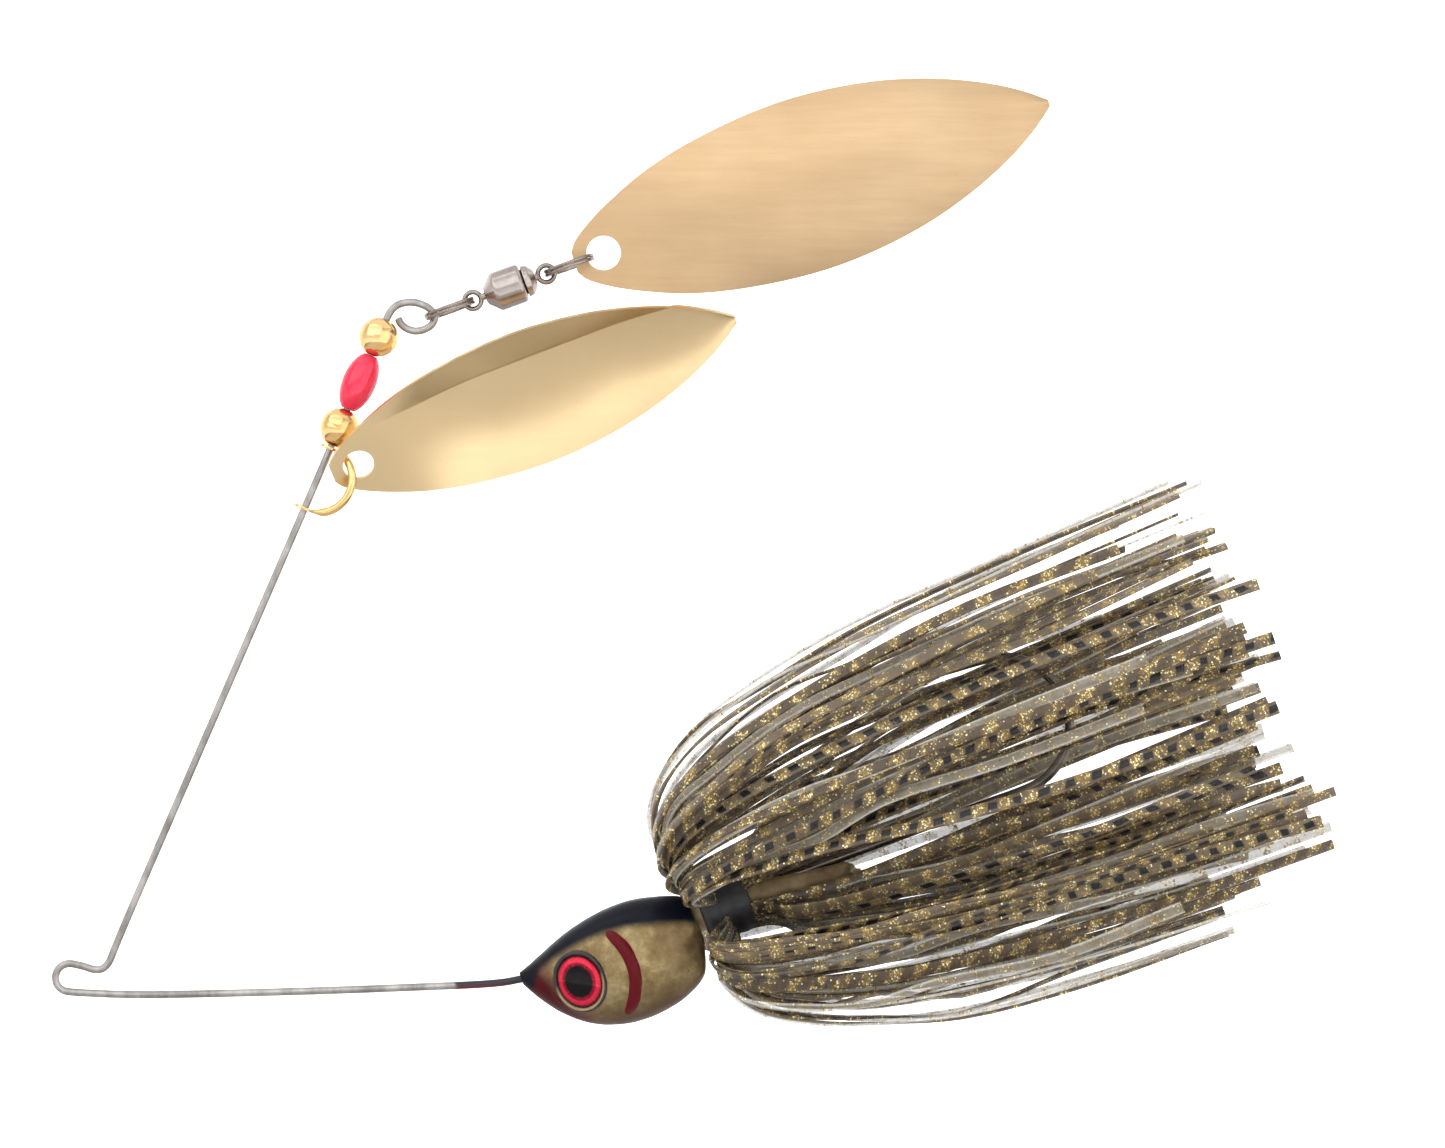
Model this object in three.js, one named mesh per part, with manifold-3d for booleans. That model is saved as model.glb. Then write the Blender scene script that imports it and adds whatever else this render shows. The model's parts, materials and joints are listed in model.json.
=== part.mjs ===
// Spinnerbait: a fishing lure with a bent wire form, a cast lead head, a single hook, a rubber
// skirt and two willow-leaf blades. Millimetres, +Z up. The origin is the centre of the open
// line-tie bend. The lure swims towards -X, and the wire form lies in the XZ plane.
import * as THREE from 'three';
import { ParametricGeometry } from 'three/addons/geometries/ParametricGeometry.js';
import { mergeVertices } from 'three/addons/utils/BufferGeometryUtils.js';
import Module from 'manifold-3d';

const wasm = await Module();
wasm.setup();

// ---- driving dimensions ----
const GAP = 0.15; // running clearance between neighbours
const WIRE_R = 0.45; // spring wire of the form
const WIRE_BORE_R = 0.62; // bores that ride on the wire
const TIE_R = 1.66; // centreline radius of the line-tie bend

const ARM_START = [6.7, 6.75]; // X and Z where the upper arm turns straight
const ARM_RISE_DEG = 66.6; // upper arm above the horizontal
const ARM_STRAIGHT = 77.3; // straight length of the upper arm

const BEAD_R = 2.35; // 3/16 inch metal beads
const OVAL_BEAD_R = 2.0;
const OVAL_BEAD_HALF = 3.35;
const LOWER_BEAD_AT = 63.3; // places along the upper arm
const OVAL_BEAD_AT = 69.15;
const UPPER_BEAD_AT = 74.95;

const BAIL_AT = 56.8; // centre of the clevis bail along the arm
const BAIL_OFF = 0.6; // and its distance from the wire
const BAIL_R = 3.85;
const BAIL_WIRE_R = 0.5;
const BAIL_TILT_DEG = 20; // the clevis is turned this far about the wire
const EAR_R = 1.35;
const EAR_THICK = 0.35;
const CROSSING_DEG = 46; // where the front blade hangs on the bail, from its outermost point

const SHEET = 0.5; // blade thickness
const FRONT_BLADE = {
  length: 50.9, half: 8.85, cup: 2.2, hole: 1.85, holeAt: 3.3, rise: 21.0, tilt: 30,
};
const REAR_BLADE = {
  length: 59.0, half: 10.25, cup: 2.4, hole: 2.03, holeAt: 3.6, rise: 18.6, tilt: 0,
};

const CHAIN_RISE_DEG = 20; // the swivel chain above the horizontal
const CHAIN_START = [43.03, 78.2]; // centre of the end loop's right side
const RING_MEAN_R = 2.9; // split rings
const RING_HALF_WIDTH = 0.3;
const RING_HALF_HEIGHT = 0.5;
const EYE_MEAN_R = 1.0; // swivel eyes
const EYE_WIRE_R = 0.3;
const SWIVEL_R = 2.35;
const BALL_R = 0.42;
const BALL_COUNT = 6;
const EYE_TO_EYE = 9.2;

const NOSE = [53.3, -0.1]; // X and Z of the head's nose
const LURE_RISE_DEG = 20; // head, hook and skirt axis above the horizontal
const HOOK_R = 0.6;
const HOOK_BEND_R = 8.1;
const HOOK_BEND_AT = 63.3;
const SHANK_UP = 0.6; // the shank's height above the lure axis
const NECK_R = 2.1;
const COLLAR_OUTER_R = 3.9;
const COLLAR_FROM = 22.6;
const COLLAR_TO = 28.6;

const OUTER_LOCKS = 12;
const INNER_LOCKS = 6;
const SKIRT_RISE = 0.16; // share by which the lowest locks spread less than the top ones
const SKIRT_LAG = 2.6; // how much further back the lowest locks turn
const SKIRT_SQUEEZE = 0.88; // width of the skirt as a share of its height

// ---- helpers ----
const rad = THREE.MathUtils.degToRad;
const smooth = THREE.MathUtils.smoothstep;
const clamp = THREE.MathUtils.clamp;
const inPlane = (x, z) => new THREE.Vector3(x, 0, z);

// a closed surface with merged vertices, no collapsed triangles and faces that point out
function closed(geometry) {
  const bare = geometry.index ? geometry.toNonIndexed() : geometry.clone();
  bare.deleteAttribute('normal');
  bare.deleteAttribute('uv');
  const merged = mergeVertices(bare, 1e-4);
  const index = merged.index.array;
  const kept = [];
  for (let i = 0; i < index.length; i += 3) {
    const [a, b, c] = index.slice(i, i + 3);
    if (a !== b && b !== c && c !== a) kept.push(a, b, c);
  }
  merged.setIndex(kept);
  if (volume(merged) < 0) merged.setIndex(kept.reverse());
  return merged;
}

function volume(geometry) {
  const [p, index] = [geometry.attributes.position, geometry.index.array];
  const corner = (i) => new THREE.Vector3().fromBufferAttribute(p, index[i]);
  let sum = 0;
  for (let i = 0; i < index.length; i += 3) {
    sum += corner(i).dot(corner(i + 1).cross(corner(i + 2)));
  }
  return sum / 6;
}

function toSolid(geometry) {
  const g = closed(geometry);
  return new wasm.Manifold(new wasm.Mesh({
    numProp: 3,
    vertProperties: new Float32Array(g.attributes.position.array),
    triVerts: new Uint32Array(g.index.array),
  }));
}

function fromSolid(solid) {
  const mesh = solid.getMesh();
  const geometry = new THREE.BufferGeometry();
  geometry.setAttribute('position', new THREE.BufferAttribute(mesh.vertProperties.slice(), 3));
  geometry.setIndex(new THREE.BufferAttribute(mesh.triVerts.slice(), 1));
  return geometry;
}

const joined = (...pieces) => fromSolid(pieces.map(toSolid).reduce((a, b) => a.add(b)));
const cut = (piece, ...tools) => fromSolid(
  tools.map(toSolid).reduce((a, b) => a.subtract(b), toSolid(piece)),
);

// a smooth path whose sweep steps follow its points, so tight bends get more of them than straights
class Route extends THREE.CatmullRomCurve3 {
  constructor(points) {
    super(points, false, 'centripetal');
  }

  getUtoTmapping(u) {
    return u;
  }
}

function tube(points, radius, sides = 8, perPoint = 2) {
  const section = Array.from({ length: sides }, (_, i) => {
    const angle = (2 * Math.PI * i) / sides;
    return new THREE.Vector2(radius * Math.cos(angle), radius * Math.sin(angle));
  });
  return new THREE.ExtrudeGeometry(new THREE.Shape(section), {
    steps: (points.length - 1) * perPoint,
    bevelEnabled: false,
    extrudePath: new Route(points),
  });
}

// a closed skin through sections: point(t, angle) is on the section at t, and middle(t) caps it
function loft(point, middle, around, along) {
  const rows = along + 2;
  return new ParametricGeometry((u, v, target) => {
    const row = Math.round(v * rows);
    const t = clamp((row - 1) / along, 0, 1);
    target.copy(row === 0 || row === rows ? middle(t) : point(t, 2 * Math.PI * (u % 1)));
  }, around, rows);
}

// a turned piece about the local X axis: profile points are [along, radius]
function turned(profile, segments = 16) {
  const outline = profile.map(([along, radius]) => new THREE.Vector2(radius, along));
  const geometry = new THREE.LatheGeometry([...outline, outline[0]], segments);
  return geometry.rotateZ(-Math.PI / 2);
}

function rod(radius, from, to, segments = 12) {
  const geometry = new THREE.CylinderGeometry(radius, radius, to - from, segments);
  return geometry.rotateZ(-Math.PI / 2).translate((from + to) / 2, 0, 0);
}

const arcOf = (count, from, to) => Array.from(
  { length: count + 1 },
  (_, i) => rad(from + ((to - from) * i) / count),
);

// ---- finishes ----
const FINISHES = {
  steel: { color: 0x8d8a86, roughness: 0.35, metalness: 1 },
  gold: { color: 0xd9b06a, roughness: 0.25, metalness: 1 },
  nickel: { color: 0x9a9794, roughness: 0.25, metalness: 1 },
  hookSteel: { color: 0x4a4640, roughness: 0.35, metalness: 1 },
  paint: { color: 0xbfa46c, roughness: 0.25, metalness: 0.2 },
  eye: { color: 0xc01830, roughness: 0.1, metalness: 0 },
  coral: { color: 0xff3562, roughness: 0.2, metalness: 0 },
  collar: { color: 0x111114, roughness: 0.6, metalness: 0 },
  skirt: { color: 0x8a7d64, roughness: 0.5, metalness: 0 },
};

const lure = new THREE.Group();

function frameAt([x, z], riseDeg) {
  const group = new THREE.Group();
  group.position.set(x, 0, z);
  group.rotation.y = -rad(riseDeg);
  lure.add(group);
  return group;
}

function add(parent, name, geometry, finish) {
  const mesh = new THREE.Mesh(closed(geometry), new THREE.MeshStandardMaterial(FINISHES[finish]));
  mesh.geometry.computeVertexNormals();
  mesh.name = name;
  parent.add(mesh);
  return mesh;
}

// ---- wire form: tail in the head, lower arm, line tie, upper arm and closed end loop ----
function alongArm(distance) {
  const rise = rad(ARM_RISE_DEG);
  return inPlane(ARM_START[0] + distance * Math.cos(rise), ARM_START[1] + distance * Math.sin(rise));
}

const TAIL = [[61.0, 1.35], [57.2, 0.55], [53.3, -0.15], [50.7, -0.6]].map(([x, z]) => inPlane(x, z));

function wireForm() {
  const lowerArm = [[40, -1.15], [24, -1.7], [8.1, -2.0], [3, -1.85]];
  const tie = arcOf(8, -90, -270).map((a) => inPlane(TIE_R * Math.cos(a), TIE_R * Math.sin(a)));
  const kink = [[1.6, 1.35], [3.0, 0.95], [3.95, 1.1], [4.65, 1.85], [5.3, 3.4]];
  const arm = [0, 26, 52, ARM_STRAIGHT].map(alongArm);
  const loop = [
    [37.9, 78.6], [38.5, 79.2], [39.35, 79.55], [40.4, 79.65], [41.5, 79.4], [42.5, 78.85], [43.1, 78.0],
    [42.75, 77.05], [41.85, 76.45], [40.75, 76.25], [39.75, 76.55], [39.05, 77.15], [38.74, 77.8],
  ];
  const flat = (list) => list.map(([x, z]) => inPlane(x, z));
  return tube([...TAIL, ...flat(lowerArm), ...tie, ...flat(kink), ...arm, ...flat(loop)], WIRE_R, 8, 2);
}

add(lure, 'wire_form', wireForm(), 'steel');

// ---- upper arm: beads and clevis ----
const arm = frameAt(ARM_START, ARM_RISE_DEG); // local X runs up the arm, local -Z is the tail side

function bead(halfLength, radius) {
  const reach = Math.asin(WIRE_BORE_R / radius);
  const outer = arcOf(9, 0, 180).map((a) => {
    const angle = reach + (a / Math.PI) * (Math.PI - 2 * reach);
    return [-halfLength * Math.cos(angle), radius * Math.sin(angle)];
  });
  return turned(outer, 18);
}

for (const [name, at, half, radius, finish] of [
  ['bead_lower', LOWER_BEAD_AT, BEAD_R, BEAD_R, 'gold'],
  ['bead_middle', OVAL_BEAD_AT, OVAL_BEAD_HALF, OVAL_BEAD_R, 'coral'],
  ['bead_upper', UPPER_BEAD_AT, BEAD_R, BEAD_R, 'gold'],
]) {
  add(arm, name, bead(half, radius), finish).position.x = at;
}

function onBail(angle, radius = BAIL_R) {
  return new THREE.Vector3(BAIL_AT + radius * Math.sin(angle), 0, -(BAIL_OFF + radius * Math.cos(angle)));
}

function clevis() {
  const bail = tube(arcOf(12, -81, 81).map((a) => onBail(a)), BAIL_WIRE_R, 8, 1);
  const ears = [-1, 1].map((end) => {
    const at = BAIL_AT + end * BAIL_R;
    return rod(EAR_R, at - EAR_THICK / 2, at + EAR_THICK / 2, 16);
  });
  return cut(joined(bail, ...ears), rod(WIRE_BORE_R, BAIL_AT - 8, BAIL_AT + 8));
}

const clevisFrame = new THREE.Group(); // turned about the wire, so the bail leans to the viewer's side
clevisFrame.rotation.x = -rad(BAIL_TILT_DEG);
arm.add(clevisFrame);
add(clevisFrame, 'clevis', clevis(), 'gold');

// ---- willow-leaf blades ----
// half width as a share of the widest, from the eyelet end (0) to the tip (1)
const LEAF = new THREE.SplineCurve([
  [0, 0.12], [0.012, 0.22], [0.045, 0.36], [0.1, 0.53], [0.2, 0.76], [0.33, 0.925],
  [0.5, 1], [0.67, 0.895], [0.8, 0.685], [0.9, 0.43], [0.96, 0.22], [1, 0.04],
].map(([x, y]) => new THREE.Vector2(x, y)));

// local X from the eyelet end to the tip, local Y across, local Z out of the side that faces -Y
function blade(size, side) {
  const rim = (t) => {
    const p = LEAF.getPoint(t);
    return [p.x * size.length, p.y * size.half];
  };
  const dish = (x) => smooth(x / size.length, 0.1, 0.4) * (1 - 0.8 * smooth(x / size.length, 0.7, 1));
  const point = (t, angle) => {
    const [x, half] = rim(t);
    const across = Math.cos(angle);
    const face = (SHEET / 2) * clamp(2.5 * Math.sin(angle), -1, 1);
    return new THREE.Vector3(x, half * across, side * size.cup * dish(x) * (1 - across * across) + face);
  };
  const middle = (t) => new THREE.Vector3(rim(t)[0], 0, side * size.cup * dish(rim(t)[0]));
  const hole = new THREE.CylinderGeometry(size.hole, size.hole, 6, 20).rotateX(Math.PI / 2);
  return cut(loft(point, middle, 16, 22), hole.translate(size.holeAt, 0, 0));
}

// places a blade so that its hole is centred on a point
function hangBlade(name, size, side, holeCentre) {
  const across = new THREE.Vector3(-Math.sin(rad(size.rise)), 0, Math.cos(rad(size.rise)));
  across.multiplyScalar(Math.cos(rad(size.tilt))).add(new THREE.Vector3(0, -Math.sin(rad(size.tilt)), 0));
  const along = inPlane(Math.cos(rad(size.rise)), Math.sin(rad(size.rise)));
  const out = new THREE.Vector3().crossVectors(along, across);
  const mesh = add(lure, name, blade(size, side), 'gold');
  mesh.quaternion.setFromRotationMatrix(new THREE.Matrix4().makeBasis(along, across, out));
  mesh.position.copy(holeCentre).addScaledVector(along, -size.holeAt);
}

lure.updateMatrixWorld(true);
const crossing = clevisFrame.localToWorld(onBail(rad(CROSSING_DEG)));
const pastBail = 1.0; // the front blade's hole centre lies this far beyond the bail
const frontRise = rad(FRONT_BLADE.rise);
hangBlade('front_blade', FRONT_BLADE, -1,
  crossing.clone().add(inPlane(Math.cos(frontRise), Math.sin(frontRise)).multiplyScalar(pastBail)));

// ---- swivel chain: split ring, ball-bearing swivel, split ring ----
const chain = frameAt(CHAIN_START, CHAIN_RISE_DEG); // local X runs from the end loop to the rear blade
// the ring's centre lies this far beyond the centre of the end loop's wire
const RING_AT = RING_MEAN_R - RING_HALF_WIDTH - WIRE_R - 1.5 * GAP;
const FRONT_EYE_AT = RING_AT + RING_MEAN_R;
const REAR_EYE_AT = FRONT_EYE_AT + EYE_TO_EYE;
const BLADE_RING_AT = REAR_EYE_AT + RING_MEAN_R;
const BLADE_PIVOT_AT = BLADE_RING_AT + RING_MEAN_R;

// two flat turns read as one band: a closed octagonal section swept about the local Z axis
function splitRing() {
  const [w, h] = [RING_HALF_WIDTH, RING_HALF_HEIGHT];
  const section = [
    [-w, -h / 2], [-w / 2, -h], [w / 2, -h], [w, -h / 2],
    [w, h / 2], [w / 2, h], [-w / 2, h], [-w, h / 2],
  ];
  const outline = section.map(([x, z]) => new THREE.Vector2(RING_MEAN_R + x, z));
  return new THREE.LatheGeometry([...outline, outline[0]], 24).rotateX(Math.PI / 2);
}

add(chain, 'split_ring_arm', splitRing(), 'nickel').position.x = RING_AT;
add(chain, 'split_ring_blade', splitRing(), 'nickel').position.x = BLADE_RING_AT;

// swivel pieces are measured along local X from the front eye
const swivel = new THREE.Group();
swivel.position.x = FRONT_EYE_AT;
chain.add(swivel);
const CAVITY_R = 1.65;
const STEM_R = 0.42;
const STEM_BORE_R = 0.58;

add(swivel, 'swivel_barrel', turned([
  [1.55, STEM_BORE_R], [1.55, 1.0], [2.9, SWIVEL_R], [6.0, SWIVEL_R], [6.35, 2.1],
  [6.35, CAVITY_R], [2.65, CAVITY_R], [2.65, STEM_BORE_R],
]), 'nickel');
add(swivel, 'swivel_end_cap', turned([
  [5.75, STEM_BORE_R], [5.75, 1.48], [6.5, 1.48], [6.5, 1.95], [7.2, 1.8], [7.85, 1.05],
  [7.85, STEM_BORE_R],
]), 'nickel');

function wireEye(at) {
  const ring = new THREE.TorusGeometry(EYE_MEAN_R, EYE_WIRE_R, 8, 20);
  return ring.rotateX(Math.PI / 2).translate(at, 0, 0);
}


add(swivel, 'swivel_eye_front', joined(wireEye(0), rod(STEM_R, 1.0, 3.2), rod(1.2, 2.85, 3.3)), 'nickel');
const REAR_FLANGE = [4.05, 4.55];
add(swivel, 'swivel_eye_rear', joined(
  wireEye(EYE_TO_EYE), rod(STEM_R, 4.2, EYE_TO_EYE - 1.0), rod(1.35, ...REAR_FLANGE),
), 'nickel');
for (let i = 0; i < BALL_COUNT; i += 1) {
  const angle = (2 * Math.PI * i) / BALL_COUNT;
  const ball = add(swivel, `swivel_ball_${i + 1}`, new THREE.SphereGeometry(BALL_R, 8, 6), 'steel');
  ball.position.set(5.15, 1.1 * Math.cos(angle), 1.1 * Math.sin(angle));
}

lure.updateMatrixWorld(true);
const holePastPivot = 1.4; // the rear blade's hole is this far beyond the ring it hangs on
const rearHole = new THREE.Vector3(BLADE_PIVOT_AT + holePastPivot, 0, 0);
hangBlade('rear_blade', REAR_BLADE, 1, chain.localToWorld(rearHole));

// ---- head: lead casting with a neck for the skirt and a barbed bait keeper ----
const body = frameAt(NOSE, LURE_RISE_DEG); // local X runs from the nose to the hook's bend
// [distance from the nose, top, bottom, half width]
const HEAD = [
  [0, 0.75, -0.8, 0.75], [1.0, 1.1, -2.6, 1.7], [3.0, 1.9, -5.3, 2.9], [5.5, 2.9, -7.5, 3.75],
  [8.5, 3.8, -8.9, 4.4], [12, 4.35, -9.5, 4.75], [15, 4.35, -9.3, 4.6], [18, 3.75, -8.5, 4.0],
  [20.5, 2.9, -6.9, 3.1], [21.8, 2.0, -3.2, 2.2],
];
const headCurve = (k) => new THREE.SplineCurve(HEAD.map((row) => new THREE.Vector2(row[0], row[k])));
const head = [0, 1, 2, 3].map(headCurve);
const headAt = (t) => head.map((curve, k) => (k ? curve.getPoint(t).y : curve.getPoint(t).x));

function headShell() {
  const point = (t, angle) => {
    const [x, top, bottom, half] = headAt(t);
    const middle = (top + bottom) / 2;
    return new THREE.Vector3(x, half * Math.sin(angle), middle + ((top - bottom) / 2) * Math.cos(angle));
  };
  const middle = (t) => new THREE.Vector3(headAt(t)[0], 0, (headAt(t)[1] + headAt(t)[2]) / 2);
  return loft(point, middle, 20, 16);
}

function keeper() {
  const arm = new THREE.CylinderGeometry(1.2, 1.9, 12.2, 12).rotateZ(-Math.PI / 2).rotateY(rad(5));
  const spike = (to) => new THREE.ConeGeometry(0.75, 4.4, 10).rotateZ(Math.PI).translate(0, to, 0);
  const down = spike(0).rotateX(Math.PI / 2).rotateY(rad(-20)).translate(40.6, 0, -3.3);
  const sides = [-1, 1].map((s) => {
    const cone = new THREE.ConeGeometry(0.7, 3.4, 10);
    return (s > 0 ? cone : cone.rotateX(Math.PI)).translate(40.8, s * 2.0, -1.2);
  });
  return [arm.translate(35.2, 0, -0.9), down, ...sides];
}

const EYE_AT = [6.5, -2.5]; // along the axis and above it
const EYE_R = 2.7;
const EYE_THICK = 0.9;
const EYE_LOOK_DEG = 17; // each eye is turned this far towards the nose
const EYE_OUT = 3.75; // its back lies this far from the middle plane

// local placement of an eye, and of the pocket it sits in
function placeEye(geometry, side) {
  return geometry.rotateZ(side * rad(EYE_LOOK_DEG)).translate(EYE_AT[0], side * EYE_OUT, EYE_AT[1]);
}

function eyeDome(side) {
  const profile = [
    [0, 0], [EYE_R, 0], [EYE_R, 0.25], [EYE_R * 0.8, 0.6], [EYE_R * 0.45, 0.83], [0, EYE_THICK],
  ];
  const dome = new THREE.LatheGeometry(profile.map(([r, h]) => new THREE.Vector2(r, h)), 20);
  return placeEye(side > 0 ? dome : dome.rotateX(Math.PI), side);
}

const pocket = (side) => placeEye(
  new THREE.CylinderGeometry(EYE_R + GAP, EYE_R + GAP, 4, 20).translate(0, side * (2 - GAP), 0), side,
);

function hookPath() {
  const shank = [[15, SHANK_UP], [22, SHANK_UP], [42, SHANK_UP], [58, SHANK_UP]];
  const bend = arcOf(10, -90, 90).map((a) => [
    HOOK_BEND_AT + HOOK_BEND_R * Math.cos(a), SHANK_UP + HOOK_BEND_R * (1 + Math.sin(a)),
  ]);
  const leg = [[57.5, SHANK_UP + 2 * HOOK_BEND_R + 0.4]];
  return [...shank, ...bend, ...leg].map(([x, z]) => inPlane(x, z));
}

function hook() {
  const top = SHANK_UP + 2 * HOOK_BEND_R + 0.4;
  const point = new THREE.ConeGeometry(HOOK_R, 6.5, 10).rotateZ(Math.PI / 2).rotateY(rad(4));
  const barb = new THREE.ConeGeometry(0.45, 2.2, 8).rotateZ(-Math.PI / 2).rotateY(rad(28));
  point.translate(54.6, 0, top + 0.2);
  barb.translate(55.6, 0, top - 0.65);
  return joined(tube(hookPath(), HOOK_R, 8, 1), point, barb);
}

// the casting closes on the wire's tail and the hook's shank with a thin film of clearance
function headCasting() {
  const tailRoute = TAIL.map((p) => body.worldToLocal(p.clone()));
  const tailEnd = tailRoute[0].clone().sub(tailRoute[1]).normalize().multiplyScalar(GAP).add(tailRoute[0]);
  const tailBore = tube([tailEnd, ...tailRoute], WIRE_R + GAP, 8, 2);
  const shankBore = rod(HOOK_R + GAP, 15 - GAP, 60).translate(0, 0, SHANK_UP);
  const metal = joined(headShell(), rod(NECK_R, 20, 30, 16), ...keeper());
  return cut(metal, tailBore, shankBore, pocket(-1), pocket(1));
}

lure.updateMatrixWorld(true);
add(body, 'head', headCasting(), 'paint');
add(body, 'eye_near', eyeDome(-1), 'eye');
add(body, 'eye_far', eyeDome(1), 'eye');
add(body, 'hook', hook(), 'hookSteel');
add(body, 'skirt_collar', turned([
  [COLLAR_FROM, NECK_R + GAP], [COLLAR_FROM, 3.3], [COLLAR_FROM + 0.8, COLLAR_OUTER_R],
  [COLLAR_TO - 0.8, COLLAR_OUTER_R], [COLLAR_TO, 3.3], [COLLAR_TO, NECK_R + GAP],
], 18), 'collar');

// ---- skirt: locks of strands that flare off the collar and sweep back ----
// each point is [distance from the nose, distance from the lure axis]
const OUTER_SWEEP = [
  [24, 4.9], [21.4, 8.4], [20.9, 12.5], [23.2, 17], [29, 21.3], [39, 24.7], [52, 26.8],
  [72, 28.6], [95, 29.6],
];
const INNER_SWEEP = [[29.6, 4.4], [34, 6.2], [41, 9], [52, 12.5], [70, 14.5], [93, 15.5]];

// turn is the lock's place about the axis, 0 at the top, where the skirt is widest
function lock(sweep, turn, widest, thickest) {
  const low = (1 - Math.cos(turn)) / 2;
  const across = new THREE.Vector3(0, Math.cos(turn), -Math.sin(turn));
  const route = new THREE.CatmullRomCurve3(sweep.map(([along, away]) => {
    const spread = away > 8 ? 1 - SKIRT_RISE * low : 1;
    const back = SKIRT_LAG * low * (1 - smooth(along, 24, 60));
    const reach = away * spread;
    return new THREE.Vector3(along + back, SKIRT_SQUEEZE * reach * Math.sin(turn), reach * Math.cos(turn));
  }));
  const half = (t) => {
    const grow = smooth(t, 0, 0.55);
    const taper = 1 - 0.55 * smooth(t, 0.7, 1);
    return [(0.75 + (widest - 0.75) * grow) * taper, (0.45 + (thickest - 0.45) * grow) * taper];
  };
  const point = (t, angle) => {
    const out = new THREE.Vector3().crossVectors(route.getTangent(t), across).normalize();
    const [wide, thick] = half(t);
    const sideways = across.clone().multiplyScalar(wide * Math.cos(angle));
    return route.getPoint(t).add(sideways).addScaledVector(out, thick * Math.sin(angle));
  };
  return loft(point, (t) => route.getPoint(t), 8, 14);
}

for (let i = 0; i < OUTER_LOCKS; i += 1) {
  const turn = (2 * Math.PI * (i + 0.5)) / OUTER_LOCKS;
  add(body, `skirt_outer_${i + 1}`, lock(OUTER_SWEEP, turn, 3.8, 1.5), 'skirt');
}
for (let i = 0; i < INNER_LOCKS; i += 1) {
  const turn = (2 * Math.PI * (i + 0.5)) / INNER_LOCKS;
  add(body, `skirt_inner_${i + 1}`, lock(INNER_SWEEP, turn, 3.2, 1.3), 'skirt');
}

export default lure;
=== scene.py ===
"""Looks of the spinnerbait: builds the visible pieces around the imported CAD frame."""
import json
import math
import random

import bmesh
import bpy
from mathutils import Matrix, Vector
from mathutils import noise as field

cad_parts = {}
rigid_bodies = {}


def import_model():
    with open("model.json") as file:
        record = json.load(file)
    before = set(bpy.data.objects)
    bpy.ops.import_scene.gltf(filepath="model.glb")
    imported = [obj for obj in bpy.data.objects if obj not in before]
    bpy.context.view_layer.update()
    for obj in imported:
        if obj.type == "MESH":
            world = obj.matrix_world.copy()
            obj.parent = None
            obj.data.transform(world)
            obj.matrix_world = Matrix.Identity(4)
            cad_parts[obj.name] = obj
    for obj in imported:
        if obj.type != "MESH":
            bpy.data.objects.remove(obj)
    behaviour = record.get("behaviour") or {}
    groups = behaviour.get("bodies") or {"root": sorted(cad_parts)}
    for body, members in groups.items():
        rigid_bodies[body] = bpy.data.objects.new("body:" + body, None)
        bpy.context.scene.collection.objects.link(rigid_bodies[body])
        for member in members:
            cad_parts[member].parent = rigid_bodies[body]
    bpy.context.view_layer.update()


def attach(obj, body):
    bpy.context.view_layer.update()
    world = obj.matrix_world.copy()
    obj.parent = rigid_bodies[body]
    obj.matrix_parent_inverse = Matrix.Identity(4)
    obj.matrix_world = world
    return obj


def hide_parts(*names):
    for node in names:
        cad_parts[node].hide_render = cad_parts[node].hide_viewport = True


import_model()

MM = 0.001
WIRE_R = 0.45  # millimetres from here on, unless a name says otherwise

# ------ places


class Place:
    """A local frame in the lure's XZ plane: x along its rise, y to world +Y, z above it."""

    def __init__(self, x, z, rise):
        self.origin = Vector((x, 0, z))
        turn = math.radians(rise)
        self.along = Vector((math.cos(turn), 0, math.sin(turn)))
        self.up = Vector((-math.sin(turn), 0, math.cos(turn)))

    def __call__(self, x, y, z):
        return self.origin + self.along * x + Vector((0, y, 0)) + self.up * z


ARM_RISE, CHAIN_RISE, LURE_RISE = 66.6, 20, 20  # degrees
ARM = Place(6.7, 6.75, ARM_RISE)
CHAIN = Place(43.03, 78.2, CHAIN_RISE)
LURE = Place(53.3, -0.1, LURE_RISE)


def smooth(value, low, high):
    """0 at low, 1 at high, eased between."""
    t = min(max((value - low) / (high - low), 0), 1)
    return t * t * (3 - 2 * t)


# ------ meshes


def loose(bm, name="tool", scale=1.0):
    """A bmesh as a bare object, its vertices merged and scaled."""
    bmesh.ops.remove_doubles(bm, verts=bm.verts, dist=1e-4)
    bmesh.ops.recalc_face_normals(bm, faces=bm.faces)
    bmesh.ops.scale(bm, vec=(scale, scale, scale), verts=bm.verts)
    mesh = bpy.data.meshes.new(name)
    bm.to_mesh(mesh)
    bm.free()
    obj = bpy.data.objects.new(name, mesh)
    bpy.context.scene.collection.objects.link(obj)
    return obj


def piece(name, bm, mat, body, node, smooth_angle=40):
    """Turns a bmesh in millimetres into a shaded piece that rides on a body."""
    obj = loose(bm, name, MM)
    for face in obj.data.polygons:
        face.use_smooth = True
    obj.data.set_sharp_from_angle(angle=math.radians(smooth_angle))
    obj.data.materials.append(mat)
    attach(obj, body)
    if node:
        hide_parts(node)
    return obj


def bevel(obj, width):
    """Rounds an object's sharp edges by width millimetres."""
    mod = obj.modifiers.new("edges", "BEVEL")
    mod.width = width * MM
    mod.segments = 3
    mod.limit_method = "ANGLE"
    mod.angle_limit = math.radians(40)
    mod.harden_normals = True


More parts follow.
